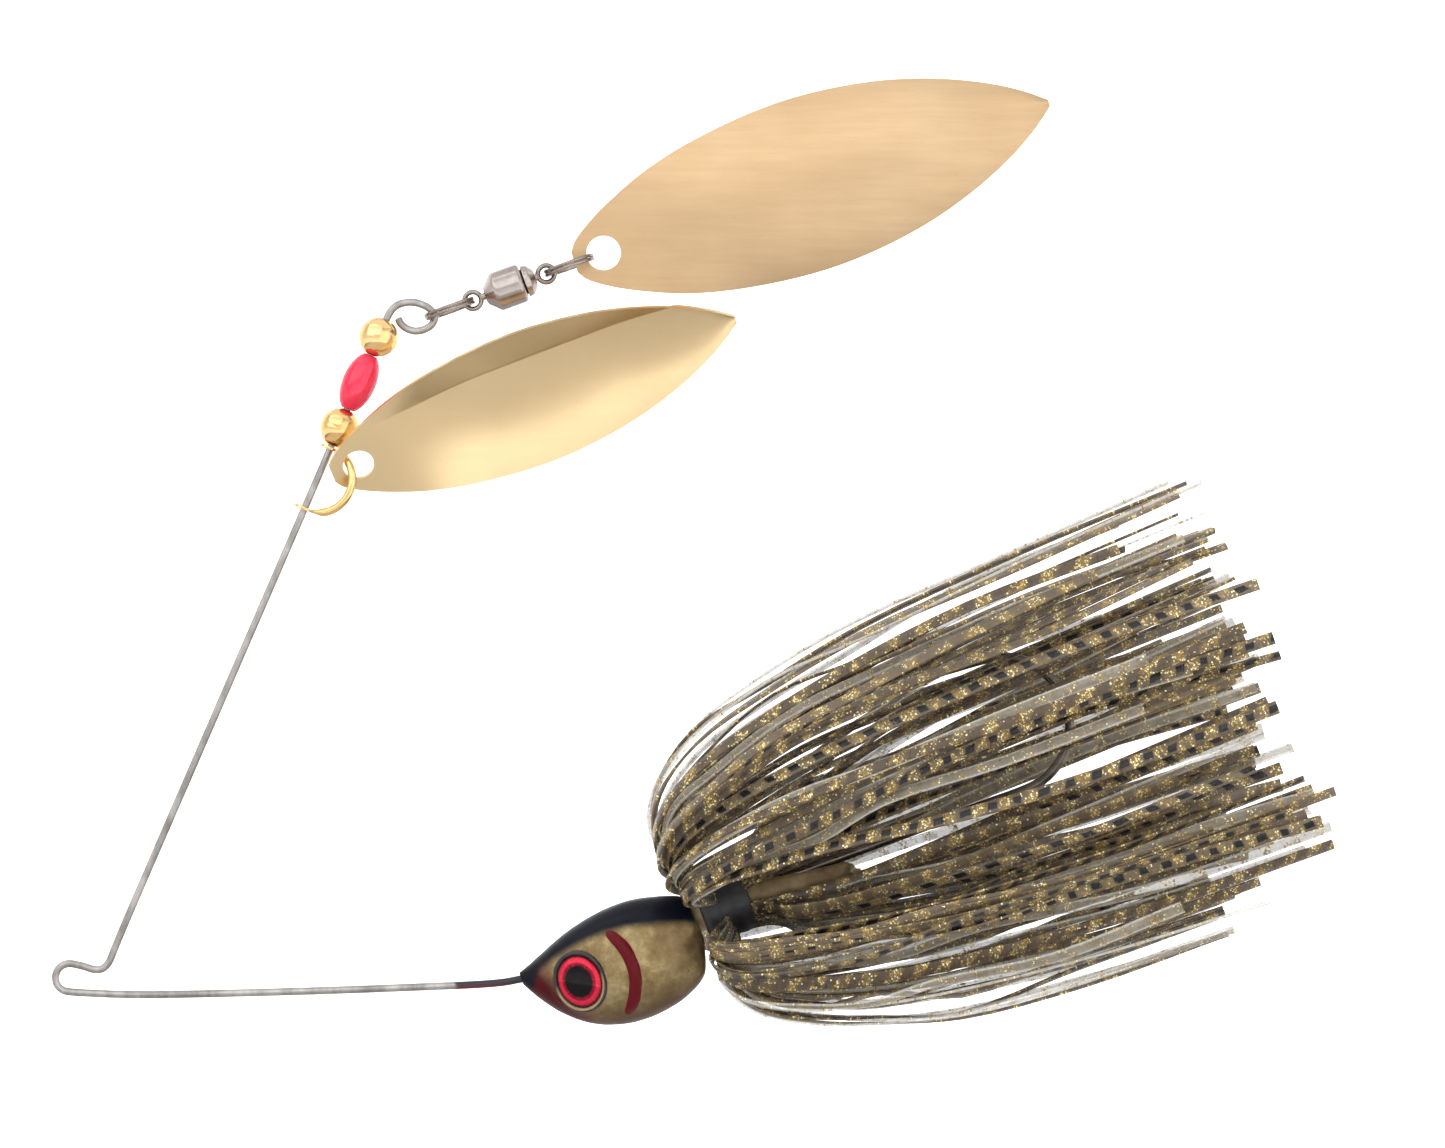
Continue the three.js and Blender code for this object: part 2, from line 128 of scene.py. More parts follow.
def skin(bm, rings, closed=False, caps=True):
    """Faces between rings of points; returns the vertices ring by ring."""
    rows = [[bm.verts.new(p) for p in ring] for ring in rings]
    pairs = list(zip(rows, rows[1:])) + ([(rows[-1], rows[0])] if closed else [])
    for a, b in pairs:
        for i in range(len(a)):
            j = (i + 1) % len(a)
            bm.faces.new((a[i], a[j], b[j], b[i]))
    if caps and not closed:
        bm.faces.new(rows[0][::-1])
        bm.faces.new(rows[-1])
    return rows


def sweep(bm, points, section, side=Vector((0, 1, 0)), closed=False):
    """Carries section(i) -> [(across, out)] along points, across kept close to side."""
    rings = []
    count = len(points)
    for i, p in enumerate(points):
        if closed:
            ahead = points[(i + 1) % count] - points[i - 1]
        else:
            ahead = points[min(i + 1, count - 1)] - points[max(i - 1, 0)]
        ahead.normalize()
        lateral = side(i) if callable(side) else side
        lateral = (lateral - ahead * lateral.dot(ahead)).normalized()
        out = ahead.cross(lateral)
        rings.append([p + lateral * x + out * y for x, y in section(i)])
    return skin(bm, rings, closed=closed)


def arc(count, low, high):
    """Angles in radians from low to high degrees."""
    return [math.radians(low + (high - low) * k / count) for k in range(count + 1)]


def round_section(radius, sides=16):
    return [
        (radius * math.cos(2 * math.pi * k / sides), radius * math.sin(2 * math.pi * k / sides))
        for k in range(sides)
    ]


def lathe(profile, place, sides=48):
    """A body turned about place's local x axis; the profile is a closed outline of (x, radius)."""
    bm = bmesh.new()
    rings = []
    for k in range(sides):
        a = 2 * math.pi * k / sides
        rings.append([place(x, r * math.sin(a), r * math.cos(a)) for x, r in profile])
    rows = [[bm.verts.new(p) for p in ring] for ring in rings]
    count = len(profile)
    for k in range(sides):
        a, b = rows[k], rows[(k + 1) % sides]
        for i in range(count):
            j = (i + 1) % count
            bm.faces.new((a[i], a[j], b[j], b[i]))
    return bm


def rounded(profile, radius, steps=3):
    """Rounds the corners of a closed (x, r) outline."""
    result = []
    count = len(profile)
    for i in range(count):
        p = Vector(profile[i])
        before, after = Vector(profile[i - 1]) - p, Vector(profile[(i + 1) % count]) - p
        reach = min(radius, before.length * 0.45, after.length * 0.45)
        start, stop = p + before.normalized() * reach, p + after.normalized() * reach
        for k in range(steps + 1):
            t = k / steps
            result.append(tuple(start * (1 - t) ** 2 + p * 2 * t * (1 - t) + stop * t * t))
    return result


# ------ camera, stage and light


CAMERA_AT = (0.077, -0.71, 0.0476)  # metres, as are all the lights' places
AIM = (0.07, 0, 0.05)


def add_camera():
    data = bpy.data.cameras.new("camera")
    data.lens = 150
    data.sensor_width = 36
    cam = bpy.data.objects.new("camera", data)
    cam.location = CAMERA_AT
    cam.rotation_euler = (math.radians(90), 0, 0)
    bpy.context.scene.collection.objects.link(cam)
    bpy.context.scene.camera = cam


def area_light(name, place, target, size, power):
    data = bpy.data.lights.new(name, "AREA")
    data.shape = "RECTANGLE"
    data.size, data.size_y = size
    data.energy = power
    light = bpy.data.objects.new(name, data)
    light.location = place
    light.rotation_mode = "QUATERNION"
    light.rotation_quaternion = (Vector(target) - Vector(place)).to_track_quat("-Z", "Y")
    bpy.context.scene.collection.objects.link(light)
    return light


def add_stage():
    """A round pale floor that turns up into a white wall, with room inside it for every view."""
    floor_z, radius, bend, top, turns = -0.09, 1.9, 0.5, 2.0, 96
    outline = [(0.3 * k, floor_z) for k in range(1, 5)]
    for a in arc(12, 0, 90):
        outline.append((radius - bend * (1 - math.sin(a)), floor_z + bend * (1 - math.cos(a))))
    outline.append((radius, top))
    bm = bmesh.new()
    rows = []
    for k in range(turns):
        a = 2 * math.pi * k / turns
        rows.append([bm.verts.new((r * math.cos(a), r * math.sin(a), z)) for r, z in outline])
    for one, two in zip(rows, rows[1:] + rows[:1]):
        for i in range(len(outline) - 1):
            bm.faces.new((one[i], two[i], two[i + 1], one[i + 1]))
    bm.faces.new([row[0] for row in rows])
    mesh = bpy.data.meshes.new("backdrop")
    bm.to_mesh(mesh)
    bm.free()
    for face in mesh.polygons:
        face.use_smooth = True
    p = Paint("pale_paper", Roughness=0.9, Emission_Color=(1, 1, 1, 1))
    p.set(Base_Color=p.ramp(p.noise(30), (0.3, (0.84, 0.84, 0.84)), (0.7, (0.9, 0.9, 0.9))))
    split = p.node("SeparateXYZ", Vector=p.coord).outputs
    far = p.range(split["Y"], 0.25, 0.9, 0.0, 0.75)
    low = p.range(split["Z"], -0.05, 0.3, 0.34, 0.1)
    p.set(Emission_Strength=p.math("MAXIMUM", far, low))
    mesh.materials.append(p.mat)
    backdrop = bpy.data.objects.new("backdrop", mesh)
    bpy.context.scene.collection.objects.link(backdrop)


def add_light():
    """A dim sky, three soft boxes and a panel on the floor."""
    world = bpy.data.worlds.new("studio")
    bpy.context.scene.world = world
    world.use_nodes = True
    nodes, links = world.node_tree.nodes, world.node_tree.links
    coord = nodes.new("ShaderNodeTexCoord")
    split = nodes.new("ShaderNodeSeparateXYZ")
    tone = nodes.new("ShaderNodeValToRGB")
    tone.color_ramp.elements[0].position = 0.3
    tone.color_ramp.elements[0].color = (0.16, 0.15, 0.14, 1)
    tone.color_ramp.elements[1].position = 0.75
    tone.color_ramp.elements[1].color = (0.62, 0.63, 0.65, 1)
    half = nodes.new("ShaderNodeMath")
    half.operation = "MULTIPLY_ADD"
    half.inputs[1].default_value = 0.5
    half.inputs[2].default_value = 0.5
    links.new(coord.outputs["Generated"], split.inputs[0])
    links.new(split.outputs["Z"], half.inputs[0])
    links.new(half.outputs[0], tone.inputs["Fac"])
    links.new(tone.outputs["Color"], nodes["Background"].inputs["Color"])
    nodes["Background"].inputs["Strength"].default_value = 0.5
    area_light("key", (-0.35, -0.7, 0.8), AIM, (1.7, 1.3), 8.5)
    area_light("fill", (0.75, -0.8, 0.25), AIM, (1.2, 0.9), 2.4)
    area_light("top", (0.1, 0.1, 0.95), AIM, (1.7, 1.0), 5)
    # lies on the floor under the lure, for the front blade to reflect
    bounce = area_light("bounce", (0.11, -0.09, -0.083), (0.11, -0.0901, 1), (0.6, 0.54), 0.53)
    bounce.visible_camera = False


# ------ materials


class Paint:
    """One procedural material: a Principled shader and short ways to feed it."""

    def __init__(self, name, **values):
        self.mat = bpy.data.materials.new(name)
        self.mat.use_nodes = True
        self.nodes, self.links = self.mat.node_tree.nodes, self.mat.node_tree.links
        self.bsdf = self.nodes["Principled BSDF"]
        for key, value in values.items():
            self.bsdf.inputs[key.replace("_", " ")].default_value = value
        self.coord = self.nodes.new("ShaderNodeTexCoord").outputs["Object"]

    def node(self, kind, **inputs):
        node = self.nodes.new("ShaderNode" + kind)
        for key, value in inputs.items():
            self.feed(node.inputs[key.replace("_", " ")], value)
        return node

    def uv(self, name):
        node = self.nodes.new("ShaderNodeUVMap")
        node.uv_map = name
        return self.node("SeparateXYZ", Vector=node.outputs[0]).outputs

    def feed(self, socket, value):
        if isinstance(value, bpy.types.NodeSocket):
            self.links.new(value, socket)
        elif isinstance(value, tuple):
            socket.default_value = (*value, 1)
        else:
            socket.default_value = value

    def math(self, operation, a, b=0.0, c=0.0):
        node = self.nodes.new("ShaderNodeMath")
        node.operation = operation
        for socket, value in zip(node.inputs, (a, b, c)):
            self.feed(socket, value)
        return node.outputs[0]

    def stretch(self, scale, turn=(0, 0, 0), source=None):
        node = self.node("Mapping", Vector=source or self.coord)
        node.inputs["Scale"].default_value = scale
        node.inputs["Rotation"].default_value = [math.radians(a) for a in turn]
        return node.outputs[0]

    def noise(self, scale, detail=3.0, source=None, rough=0.55):
        return self.node("TexNoise", Vector=source or self.coord, Scale=scale,
                         Detail=detail, Roughness=rough).outputs["Fac"]

    def ramp(self, fac, *stops):
        node = self.nodes.new("ShaderNodeValToRGB")
        marks = node.color_ramp.elements
        while len(marks) < len(stops):
            marks.new(0.5)
        for mark, (place, colour) in zip(marks, stops):
            mark.position = place
            mark.color = (*colour, 1)
        self.feed(node.inputs["Fac"], fac)
        return node.outputs["Color"]

    def range(self, value, from_low, from_high, low, high, shape="LINEAR"):
        node = self.nodes.new("ShaderNodeMapRange")
        node.interpolation_type = shape
        for socket, v in zip(node.inputs, (value, from_low, from_high, low, high)):
            self.feed(socket, v)
        return node.outputs["Result"]

    def mix(self, fac, a, b):
        node = self.nodes.new("ShaderNodeMix")
        node.data_type = "RGBA"
        for key, value in ((0, fac), (6, a), (7, b)):
            self.feed(node.inputs[key], value)
        return node.outputs[2]

    def bump(self, height, strength, distance=0.0001, under=None):
        node = self.node("Bump", Height=height, Strength=strength, Distance=distance)
        if under:
            self.links.new(under, node.inputs["Normal"])
        return node.outputs[0]

    def set(self, **sockets):
        for key, value in sockets.items():
            self.feed(self.bsdf.inputs[key.replace("_", " ")], value)


def metal(name, dark, light, rough, fine=1200, wear=0.06, scratch=0.15):
    """Plated or drawn metal: cloudy tone, fine handling marks and uneven gloss."""
    p = Paint(name, Metallic=1.0)
    cloud = p.noise(190, 4)
    marks = p.noise(fine, 5, p.stretch((1, 1, 0.18), (0, 20, 0)))
    tone = p.ramp(cloud, (0.3, dark), (0.7, light))
    worn = tuple(0.6 * c for c in dark)
    p.set(Base_Color=p.mix(p.range(marks, 0.35, 0.65, 0.0, wear), tone, worn))
    p.set(Roughness=p.range(p.noise(420, 3), 0.25, 0.75, rough * 0.8, rough * 1.25))
    p.set(Normal=p.bump(marks, scratch, 0.00002))
    return p.mat


bpy.context.scene.view_settings.view_transform = "Standard"
add_camera()
add_stage()
add_light()


# ------ solids


def route(points, per_span=6):
    """Centripetal Catmull-Rom through the points, as the CAD lays its wire."""
    pts = [Vector(p) for p in points]
    pts = [2 * pts[0] - pts[1], *pts, 2 * pts[-1] - pts[-2]]
    result = []
    for i in range(1, len(pts) - 2):
        p0, p1, p2, p3 = pts[i - 1 : i + 3]
        d0, d1, d2 = (max((b - a).length, 1e-6) ** 0.5 for a, b in ((p0, p1), (p1, p2), (p2, p3)))
        t1 = ((p1 - p0) / d0 - (p2 - p0) / (d0 + d1) + (p2 - p1) / d1) * d1
        t2 = ((p2 - p1) / d1 - (p3 - p1) / (d1 + d2) + (p3 - p2) / d2) * d1
        for k in range(per_span):
            t = k / per_span
            result.append(p1 + t1 * t + (3 * (p2 - p1) - 2 * t1 - t2) * t**2
                          + (2 * (p1 - p2) + t1 + t2) * t**3)
    return [*result, pts[-2]]


def combined(base, tools, operation="UNION"):
    """Boolean of bmeshes in millimetres; gives back one bmesh."""
    body = loose(base)
    cutters = [loose(tool) for tool in tools]
    for cutter in cutters:
        mod = body.modifiers.new("join", "BOOLEAN")
        mod.operation = operation
        mod.solver = "EXACT"
        mod.object = cutter
    bpy.context.view_layer.update()
    ready = body.evaluated_get(bpy.context.evaluated_depsgraph_get())
    bm = bmesh.new()
    bm.from_mesh(ready.to_mesh())
    ready.to_mesh_clear()
    for obj in (body, *cutters):
        bpy.data.objects.remove(obj, do_unlink=True)
    return bm


def tube(points, taper):
    """A round wire whose radius is taper(share of the way along it)."""
    bm = bmesh.new()
    last = len(points) - 1
    sweep(bm, points, lambda i: round_section(taper(i / last), 20))
    return bm


def flat_points(rows):
    return [Vector((x, 0, z)) for x, z in rows]


# ------ wire form

TAIL = [(61.0, 1.35), (57.2, 0.55), (53.3, -0.15), (50.7, -0.6)]
LOWER_ARM = [(40, -1.15), (24, -1.7), (8.1, -2.0), (3, -1.85)]
KINK = [(1.6, 1.35), (3.0, 0.95), (3.95, 1.1), (4.65, 1.85), (5.3, 3.4)]
END_LOOP = [
    (37.9, 78.6), (38.5, 79.2), (39.35, 79.55), (40.4, 79.65), (41.5, 79.4), (42.5, 78.85),
    (43.1, 78.0), (42.75, 77.05), (41.85, 76.45), (40.75, 76.25), (39.75, 76.55), (39.05, 77.15),
    (38.74, 77.8),
]
TIE_R = 1.66


def wire_material():
    """Stainless spring wire with drawing marks; black over dark red paint by the nose."""
    p = Paint("spring_wire")
    marks = p.noise(900, 4, p.stretch((1, 1, 0.25), (0, 24, 0)))
    steel = p.ramp(p.noise(260, 4), (0.3, (0.27, 0.25, 0.235)), (0.7, (0.46, 0.44, 0.42)))
    steel = p.mix(p.range(marks, 0.4, 0.7, 0, 0.5), steel, (0.12, 0.10, 0.09))
    split = p.node("SeparateXYZ", Vector=p.coord).outputs
    edge = p.math("MULTIPLY_ADD", p.noise(700, 2), 0.0016, 0.0442)
    painted = p.range(p.math("SUBTRACT", split["X"], edge), 0, 0.0008, 0, 1, "SMOOTHSTEP")
    slope = p.math("MULTIPLY_ADD", split["X"], -0.044, split["Z"])
    top = p.range(slope, -0.00310, -0.00285, 0, 1)
    paint = p.mix(top, (0.10, 0.004, 0.008), (0.006, 0.007, 0.012))
    p.set(Base_Color=p.mix(painted, steel, paint))
    p.set(Metallic=p.math("SUBTRACT", 1.0, painted))
    p.set(Roughness=p.range(p.noise(500), 0.3, 0.7, 0.28, 0.42))
    p.set(Normal=p.bump(marks, 0.2, 0.00002))
    return p.mat


def build_wire():
    """Tail, lower arm, line-tie bend, upper arm and end loop in one run."""
    tie = [(TIE_R * math.cos(a), TIE_R * math.sin(a)) for a in arc(8, -90, -270)]
    straight = [tuple(ARM(d, 0, 0).xz) for d in (0, 26, 52, 77.3)]
    rows = [*TAIL, *LOWER_ARM, *tie, *KINK, *straight, *END_LOOP]
    points = route(flat_points(rows), 8)
    last = len(points) - 1
    bm = tube(points, lambda t: WIRE_R * (0.55 + 0.45 * smooth((1 - t) * last, 0, 1.2)))
    piece("wire", bm, wire_material(), "frame", "wire_form")


# ------ beads and clevis

GOLD_DARK, GOLD_LIGHT = (0.70, 0.43, 0.16), (0.86, 0.60, 0.29)
# how far up the arm the beads sit, and their sizes
LOWER_AT, OVAL_AT, UPPER_AT = 63.3, 69.15, 74.95
BEAD_R, OVAL_HALF, OVAL_CURVE, OVAL_R = 2.35, 3.48, 3.75, 2.0
BORE_R = 0.60


def bead_profile(half, radius, seam):
    """A bored round bead with a faint groove of depth seam round its middle."""
    reach = math.asin((BORE_R + 0.02) / radius)
    rows = []
    for k in range(41):
        a = reach + (math.pi - 2 * reach) * k / 40
        notch = seam * math.exp(-((half * math.cos(a) / 0.12) ** 2))
        rows.append((-half * math.cos(a), radius * math.sin(a) - notch))
    ends = rows[0][0], rows[-1][0]
    return rows + [(ends[1] - 0.15, BORE_R), (ends[0] + 0.15, BORE_R)]


def coral_material():
    """Fluorescent pink moulded plastic, milky inside."""
    # painted glow: a weak pink emission stands in for the plastic's fluorescence
    p = Paint("coral_bead", Roughness=0.12, IOR=1.5, Subsurface_Weight=0.4, Subsurface_Scale=1.0,
              Subsurface_Radius=(0.0016, 0.0005, 0.0005), Emission_Strength=0.04)
    tone = p.ramp(p.noise(330, 4), (0.3, (0.64, 0.006, 0.045)), (0.7, (0.72, 0.024, 0.08)))
    p.set(Base_Color=tone)
    p.set(Emission_Color=p.mix(0.35, tone, (1.0, 0.12, 0.2)))
    p.set(Normal=p.bump(p.noise(900, 3), 0.12, 0.00002))
    return p.mat


def build_beads(gold):
    for node, body, at, seam in (("bead_lower", "lower_bead", LOWER_AT, 0.05),
                                 ("bead_upper", "upper_bead", UPPER_AT, 0.012)):
        place = Place(*ARM(at, 0, 0).xz, ARM_RISE)
        bm = lathe(bead_profile(BEAD_R, BEAD_R, seam), place, 72)
        piece(node.replace("bead", "gold_bead"), bm, gold, body, node)
    place = Place(*ARM(OVAL_AT, 0, 0).xz, ARM_RISE)
    marks = [OVAL_HALF * k / 24 for k in range(-24, 25)]
    oval = [(x, OVAL_R * math.sqrt(1 - (x / OVAL_CURVE) ** 2)) for x in marks]
    bore = [(OVAL_HALF - 0.08, BORE_R), (0.08 - OVAL_HALF, BORE_R)]
    bm = lathe(rounded(oval + bore, 0.12, 2), place, 72)
    piece("coral_bead", bm, coral_material(), "middle_bead", "bead_middle")


BAIL_AT, BAIL_OFF, BAIL_R, LEAN = 56.8, 0.6, 3.85, math.radians(20)
BAIL_WIRE_R, BAIL_STEPS = 0.5, 48
EAR_HALF, EAR_R, EAR_BORE_R = 0.175, 1.35, 0.62
BORE_REACH = 8


def on_bail(a):
    """A point on the bail's centreline, a radians from its middle."""
    out = -(BAIL_OFF + BAIL_R * math.cos(a))
    return ARM(BAIL_AT + BAIL_R * math.sin(a), out * math.sin(LEAN), out * math.cos(LEAN))


def build_clevis(gold):
    points = [on_bail(a) for a in arc(BAIL_STEPS, -83, 83)]
    flat = Vector((0, math.cos(LEAN), 0)) - ARM.up * math.sin(LEAN)
    wire = round_section(BAIL_WIRE_R, 16)

    def section(i):
        flatten = smooth(abs(i / BAIL_STEPS - 0.5), 0.36, 0.5)
        return [(x * (1 + 0.9 * flatten), y * (1 - 0.6 * flatten)) for x, y in wire]

    bail = bmesh.new()
    sweep(bail, points, section, flat)
    ears = []
    for end in (-1, 1):
        at = BAIL_AT + end * BAIL_R
        low, high = at - EAR_HALF, at + EAR_HALF
        outline = [(low, EAR_BORE_R), (low, EAR_R), (high, EAR_R), (high, EAR_BORE_R)]
        ears.append(lathe(rounded(outline, 0.09), ARM, 40))
    low, high = BAIL_AT - BORE_REACH, BAIL_AT + BORE_REACH
    bore = lathe([(low, 0.0), (low, EAR_BORE_R), (high, EAR_BORE_R), (high, 0.0)], ARM, 40)
    bm = combined(combined(bail, ears), [bore], "DIFFERENCE")
    piece("clevis_stirrup", bm, gold, "clevis", "clevis", 50)


def build_hardware():
    gold = metal("gold_plate", GOLD_DARK, GOLD_LIGHT, 0.16, 1500, 0.12, 0.12)
    build_wire()
    build_beads(gold)
    build_clevis(gold)


# ------ blades

LEAF = [
    (0, 0.12), (0.012, 0.22), (0.045, 0.36), (0.1, 0.53), (0.2, 0.76), (0.33, 0.925),
    (0.5, 1), (0.67, 0.895), (0.8, 0.685), (0.9, 0.43), (0.96, 0.22), (1, 0.04),
]
SHEET = 0.5
BLADE_ON_BAIL = math.radians(46)
# places along the chain, from the end loop
RING_R, RING_AT, FRONT_EYE, REAR_EYE, BLADE_RING = 2.9, 1.925, 4.825, 14.025, 16.925
REAR_HANG = 1.4
STEM_R, STEM_BORE_R = 0.42, 0.58
FRONT = dict(length=50.9, half=8.85, cup=2.2, hole=1.85, hole_at=3.3, rise=21.0, tilt=30, side=-1,
             crease=4.2)
REAR = dict(length=59.0, half=10.25, cup=2.4, hole=2.03, hole_at=3.6, rise=18.6, tilt=0, side=1,
            crease=None)


class BladePlace:
    """Blade coordinates: x from the eyelet end to the tip, y across, z out to the viewer."""

    def __init__(self, size, hole_centre):
        rise, tilt = math.radians(size["rise"]), math.radians(size["tilt"])
        self.along = Vector((math.cos(rise), 0, math.sin(rise)))
        self.across = Vector((-math.sin(rise), 0, math.cos(rise))) * math.cos(tilt)
        self.across.y = -math.sin(tilt)
        self.out = self.along.cross(self.across)
        self.origin = hole_centre - self.along * size["hole_at"]

    def __call__(self, x, y, z):
        return self.origin + self.along * x + self.across * y + self.out * z


def blade_places():
    """Each blade hangs with its hole a little past the wire that carries it."""
    rise = math.radians(FRONT["rise"])
    front = BladePlace(FRONT, on_bail(BLADE_ON_BAIL) + Vector((math.cos(rise), 0, math.sin(rise))))
    return front, BladePlace(REAR, CHAIN(BLADE_RING + RING_R + REAR_HANG, 0, 0))


def dish_at(size, t, y, half):
    """How far the sheet's middle stands out, t of the way along and y off the centreline."""
    a = y / half
    depth = size["cup"] * smooth(t, 0.1, 0.4) * (1 - 0.8 * smooth(t, 0.7, 1))
    if size["crease"] and a > 0:
        bend = min(size["crease"] / half, 0.97)
        inner = 1 - 0.3 * min(a, bend) ** 2
        shape = inner if a <= bend else inner * (1 - a) / (1 - bend)
    else:
        shape = 1 - a * a
    return size["side"] * depth * shape


def across_marks(size, half):
    """Places across the blade, closer together at the rim and at the crease."""
    bend = size["crease"] / half if size["crease"] else 0.5
    bend = min(bend, 0.97)
    eased = [0.5 - 0.5 * math.cos(math.pi * k / 30) for k in range(31)]
    lower = [-1 + (1 + bend) * e for e in eased]
    upper = [bend + (1 - bend) * k / 10 for k in range(1, 11)]
    return lower + upper


def blade_material(name, dark, light, rough, edge):
    """Gold plate over a rolled sheet: satin lines along it, fine pits and handling scratches."""
    p = Paint(name, Metallic=1.0)
    tone = p.ramp(p.noise(55, 3), (0.3, dark), (0.72, light))
    lines = p.noise(260, 5, p.stretch((0.35, 1, 5), (0, 19, 0)), 0.7)
    pits = p.node("TexVoronoi", Vector=p.coord, Scale=900.0).outputs["Distance"]
    worn = p.range(pits, 0.0, 0.09, 0.5, 0.0)
    tone = p.mix(p.range(lines, 0.35, 0.75, 0, edge), tone, tuple(0.78 * c for c in dark))
    p.set(Base_Color=p.mix(worn, tone, tuple(0.6 * c for c in dark)))
    p.set(Roughness=p.range(lines, 0.3, 0.7, rough * 0.88, rough * 1.15))
    p.set(Normal=p.bump(p.noise(1500, 3), 0.1, 0.00001, p.bump(lines, 0.12, 0.00002)))
    return p.mat


def build_blade(name, node, size, place, mat):
    leaf = route([Vector((x * size["length"], y * size["half"], 0)) for x, y in LEAF], 9)
    rings = []
    for p in leaf:
        t, half = p.x / size["length"], p.y
        marks = across_marks(size, half)
        middle = [(a * half, dish_at(size, t, a * half, half)) for a in marks]
        top = [place(p.x, y, z + SHEET / 2) for y, z in middle]
        rings.append(top + [place(p.x, y, z - SHEET / 2) for y, z in reversed(middle)])
    bm = bmesh.new()
    skin(bm, rings)
    tool = bmesh.new()
    circle = round_section(size["hole"], 64)
    skin(tool, [[place(size["hole_at"] + x, y, z) for x, y in circle] for z in (-3, 3)])
    bm = combined(bm, [tool], "DIFFERENCE")
    bevel(piece(name, bm, mat, node, node, 30), 0.13)


def build_blades():
    front, rear = blade_places()
    hollow = blade_material("gold_hollow", (0.70, 0.52, 0.29), (0.77, 0.585, 0.335), 0.33, 0.10)
    # painted shade: the rear blade shows its crown in a darker, rougher copy of the front blade's
    # gold plate
    gold_shaded_copy = blade_material("gold_rear_painted_shade", (0.475, 0.325, 0.18), (0.555, 0.395, 0.235), 0.45, 0.2)
    build_blade("blade_front", "front_blade", FRONT, front, hollow)
    build_blade("blade_rear", "rear_blade", REAR, rear, gold_shaded_copy)


# ------ swivel chain

def split_ring(centre, gap_deg, lift):
    """Two flat turns of wire: the crossing lies at gap_deg, where the last cut end may lift."""
    gap = math.radians(gap_deg)
    start, stop = math.radians(26), math.radians(694)
    points, count = [], 150
    for k in range(count + 1):
        a = start + (stop - start) * k / count
        level = -0.22 + 0.44 * smooth(math.degrees(a), 335, 385)
        level += lift * smooth(k / count, 0.9, 1.0)
        points.append(CHAIN(centre + RING_R * math.cos(a + gap), RING_R * math.sin(a + gap), level))
    section = [(-0.24, -0.12), (-0.24, 0.12), (-0.17, 0.19), (0.17, 0.19), (0.24, 0.12),
               (0.24, -0.12), (0.17, -0.19), (-0.17, -0.19)]
    bm = bmesh.new()
    sweep(bm, points, lambda i: [(y, x) for x, y in section], CHAIN.up)
    return bm


def eye_ring(at):
    """A round wire eye whose hole faces the viewer."""
    points = []
    for k in range(48):
        a = 2 * math.pi * k / 48
        points.append(CHAIN(at + math.cos(a), 0, math.sin(a)))
    bm = bmesh.new()
    sweep(bm, points, lambda i: round_section(0.3, 14), Vector((0, 1, 0)), closed=True)
    return bm


def build_chain():
    steel = metal("nickel", (0.20, 0.165, 0.14), (0.36, 0.31, 0.275), 0.26, 1300, 0.25, 0.2)
    satin = metal("nickel_turned", (0.30, 0.255, 0.235), (0.46, 0.405, 0.375), 0.2, 1300, 0.2, 0.12)
    piece("ring_arm", split_ring(RING_AT, 170, 0.38), steel, "arm_ring", "split_ring_arm",
          50)
    piece("ring_blade", split_ring(BLADE_RING, 40, 0.0), steel, "blade_ring",
          "split_ring_blade", 50)
    swivel = Place(*CHAIN(FRONT_EYE, 0, 0).xz, CHAIN_RISE)
    barrel = rounded([
        (1.55, STEM_BORE_R), (1.55, 1.0), (2.9, 2.35), (6.0, 2.35), (6.35, 2.1), (6.35, 1.65),
        (2.65, 1.65), (2.65, STEM_BORE_R),
    ], 0.28, 5)
    piece("barrel", lathe(barrel, swivel, 72), satin, "swivel_housing", "swivel_barrel",
          50)
    cap = rounded([
        (5.75, STEM_BORE_R), (5.75, 1.48), (6.5, 1.48), (6.5, 1.95), (7.2, 1.8), (7.85, 1.05),
        (7.85, STEM_BORE_R),
    ], 0.16, 4)
    piece("end_cap", lathe(cap, swivel, 72), satin, "swivel_housing", "swivel_end_cap",
          50)

    def rod(radius, low, high):
        outline = [(low, 0.0), (low, radius), (high, radius), (high, 0.0)]
        return lathe(rounded(outline, 0.08), swivel, 32)

    front = combined(eye_ring(FRONT_EYE), [rod(STEM_R, 1.0, 3.2), rod(1.2, 2.85, 3.3)])
    piece("eye_front", front, steel, "swivel_housing", "swivel_eye_front", 50)
    rear = combined(eye_ring(REAR_EYE), [rod(STEM_R, 4.2, 8.2), rod(1.35, 4.05, 4.55)])
    piece("eye_rear", rear, steel, "swivel_rear_eye", "swivel_eye_rear", 50)
    ball_steel = metal("ball_steel", (0.42, 0.42, 0.43), (0.62, 0.62, 0.62), 0.1, 2500, 0.1, 0.05)
    for k in range(6):
        ball = bpy.data.objects[f"swivel_ball_{k + 1}"]
        for spot in ball.material_slots:
            spot.material = ball_steel


# ------ head

# distance from the nose, top, bottom and half width of the casting
HEAD = [
    (0, 0.75, -0.8, 0.75), (1.0, 1.1, -2.6, 1.7), (3.0, 1.9, -5.3, 2.9), (5.5, 2.9, -7.5, 3.75),
    (8.5, 3.8, -8.9, 4.4), (12, 4.35, -9.5, 4.75), (15, 4.35, -9.3, 4.6), (18, 3.75, -8.5, 4.0),
    (20.5, 2.9, -6.9, 3.1), (21.8, 2.0, -3.2, 2.2),
]
EYE_S, EYE_N, EYE_OUT, EYE_R = 6.5, -2.5, 3.75, 2.7
EYE_LOOK = math.radians(17)
EYE_TALL = 1.15  # the eyes are this much taller than wide
GILL_X, GILL_Z, GILL_R = 59.92, -0.44, 6.92  # the gill slit is an arc about this point
GILL_HALF, GILL_MIDDLE, GILL_SPAN = 0.78, math.radians(14), math.radians(47)
GILL_RAISED = 0.42


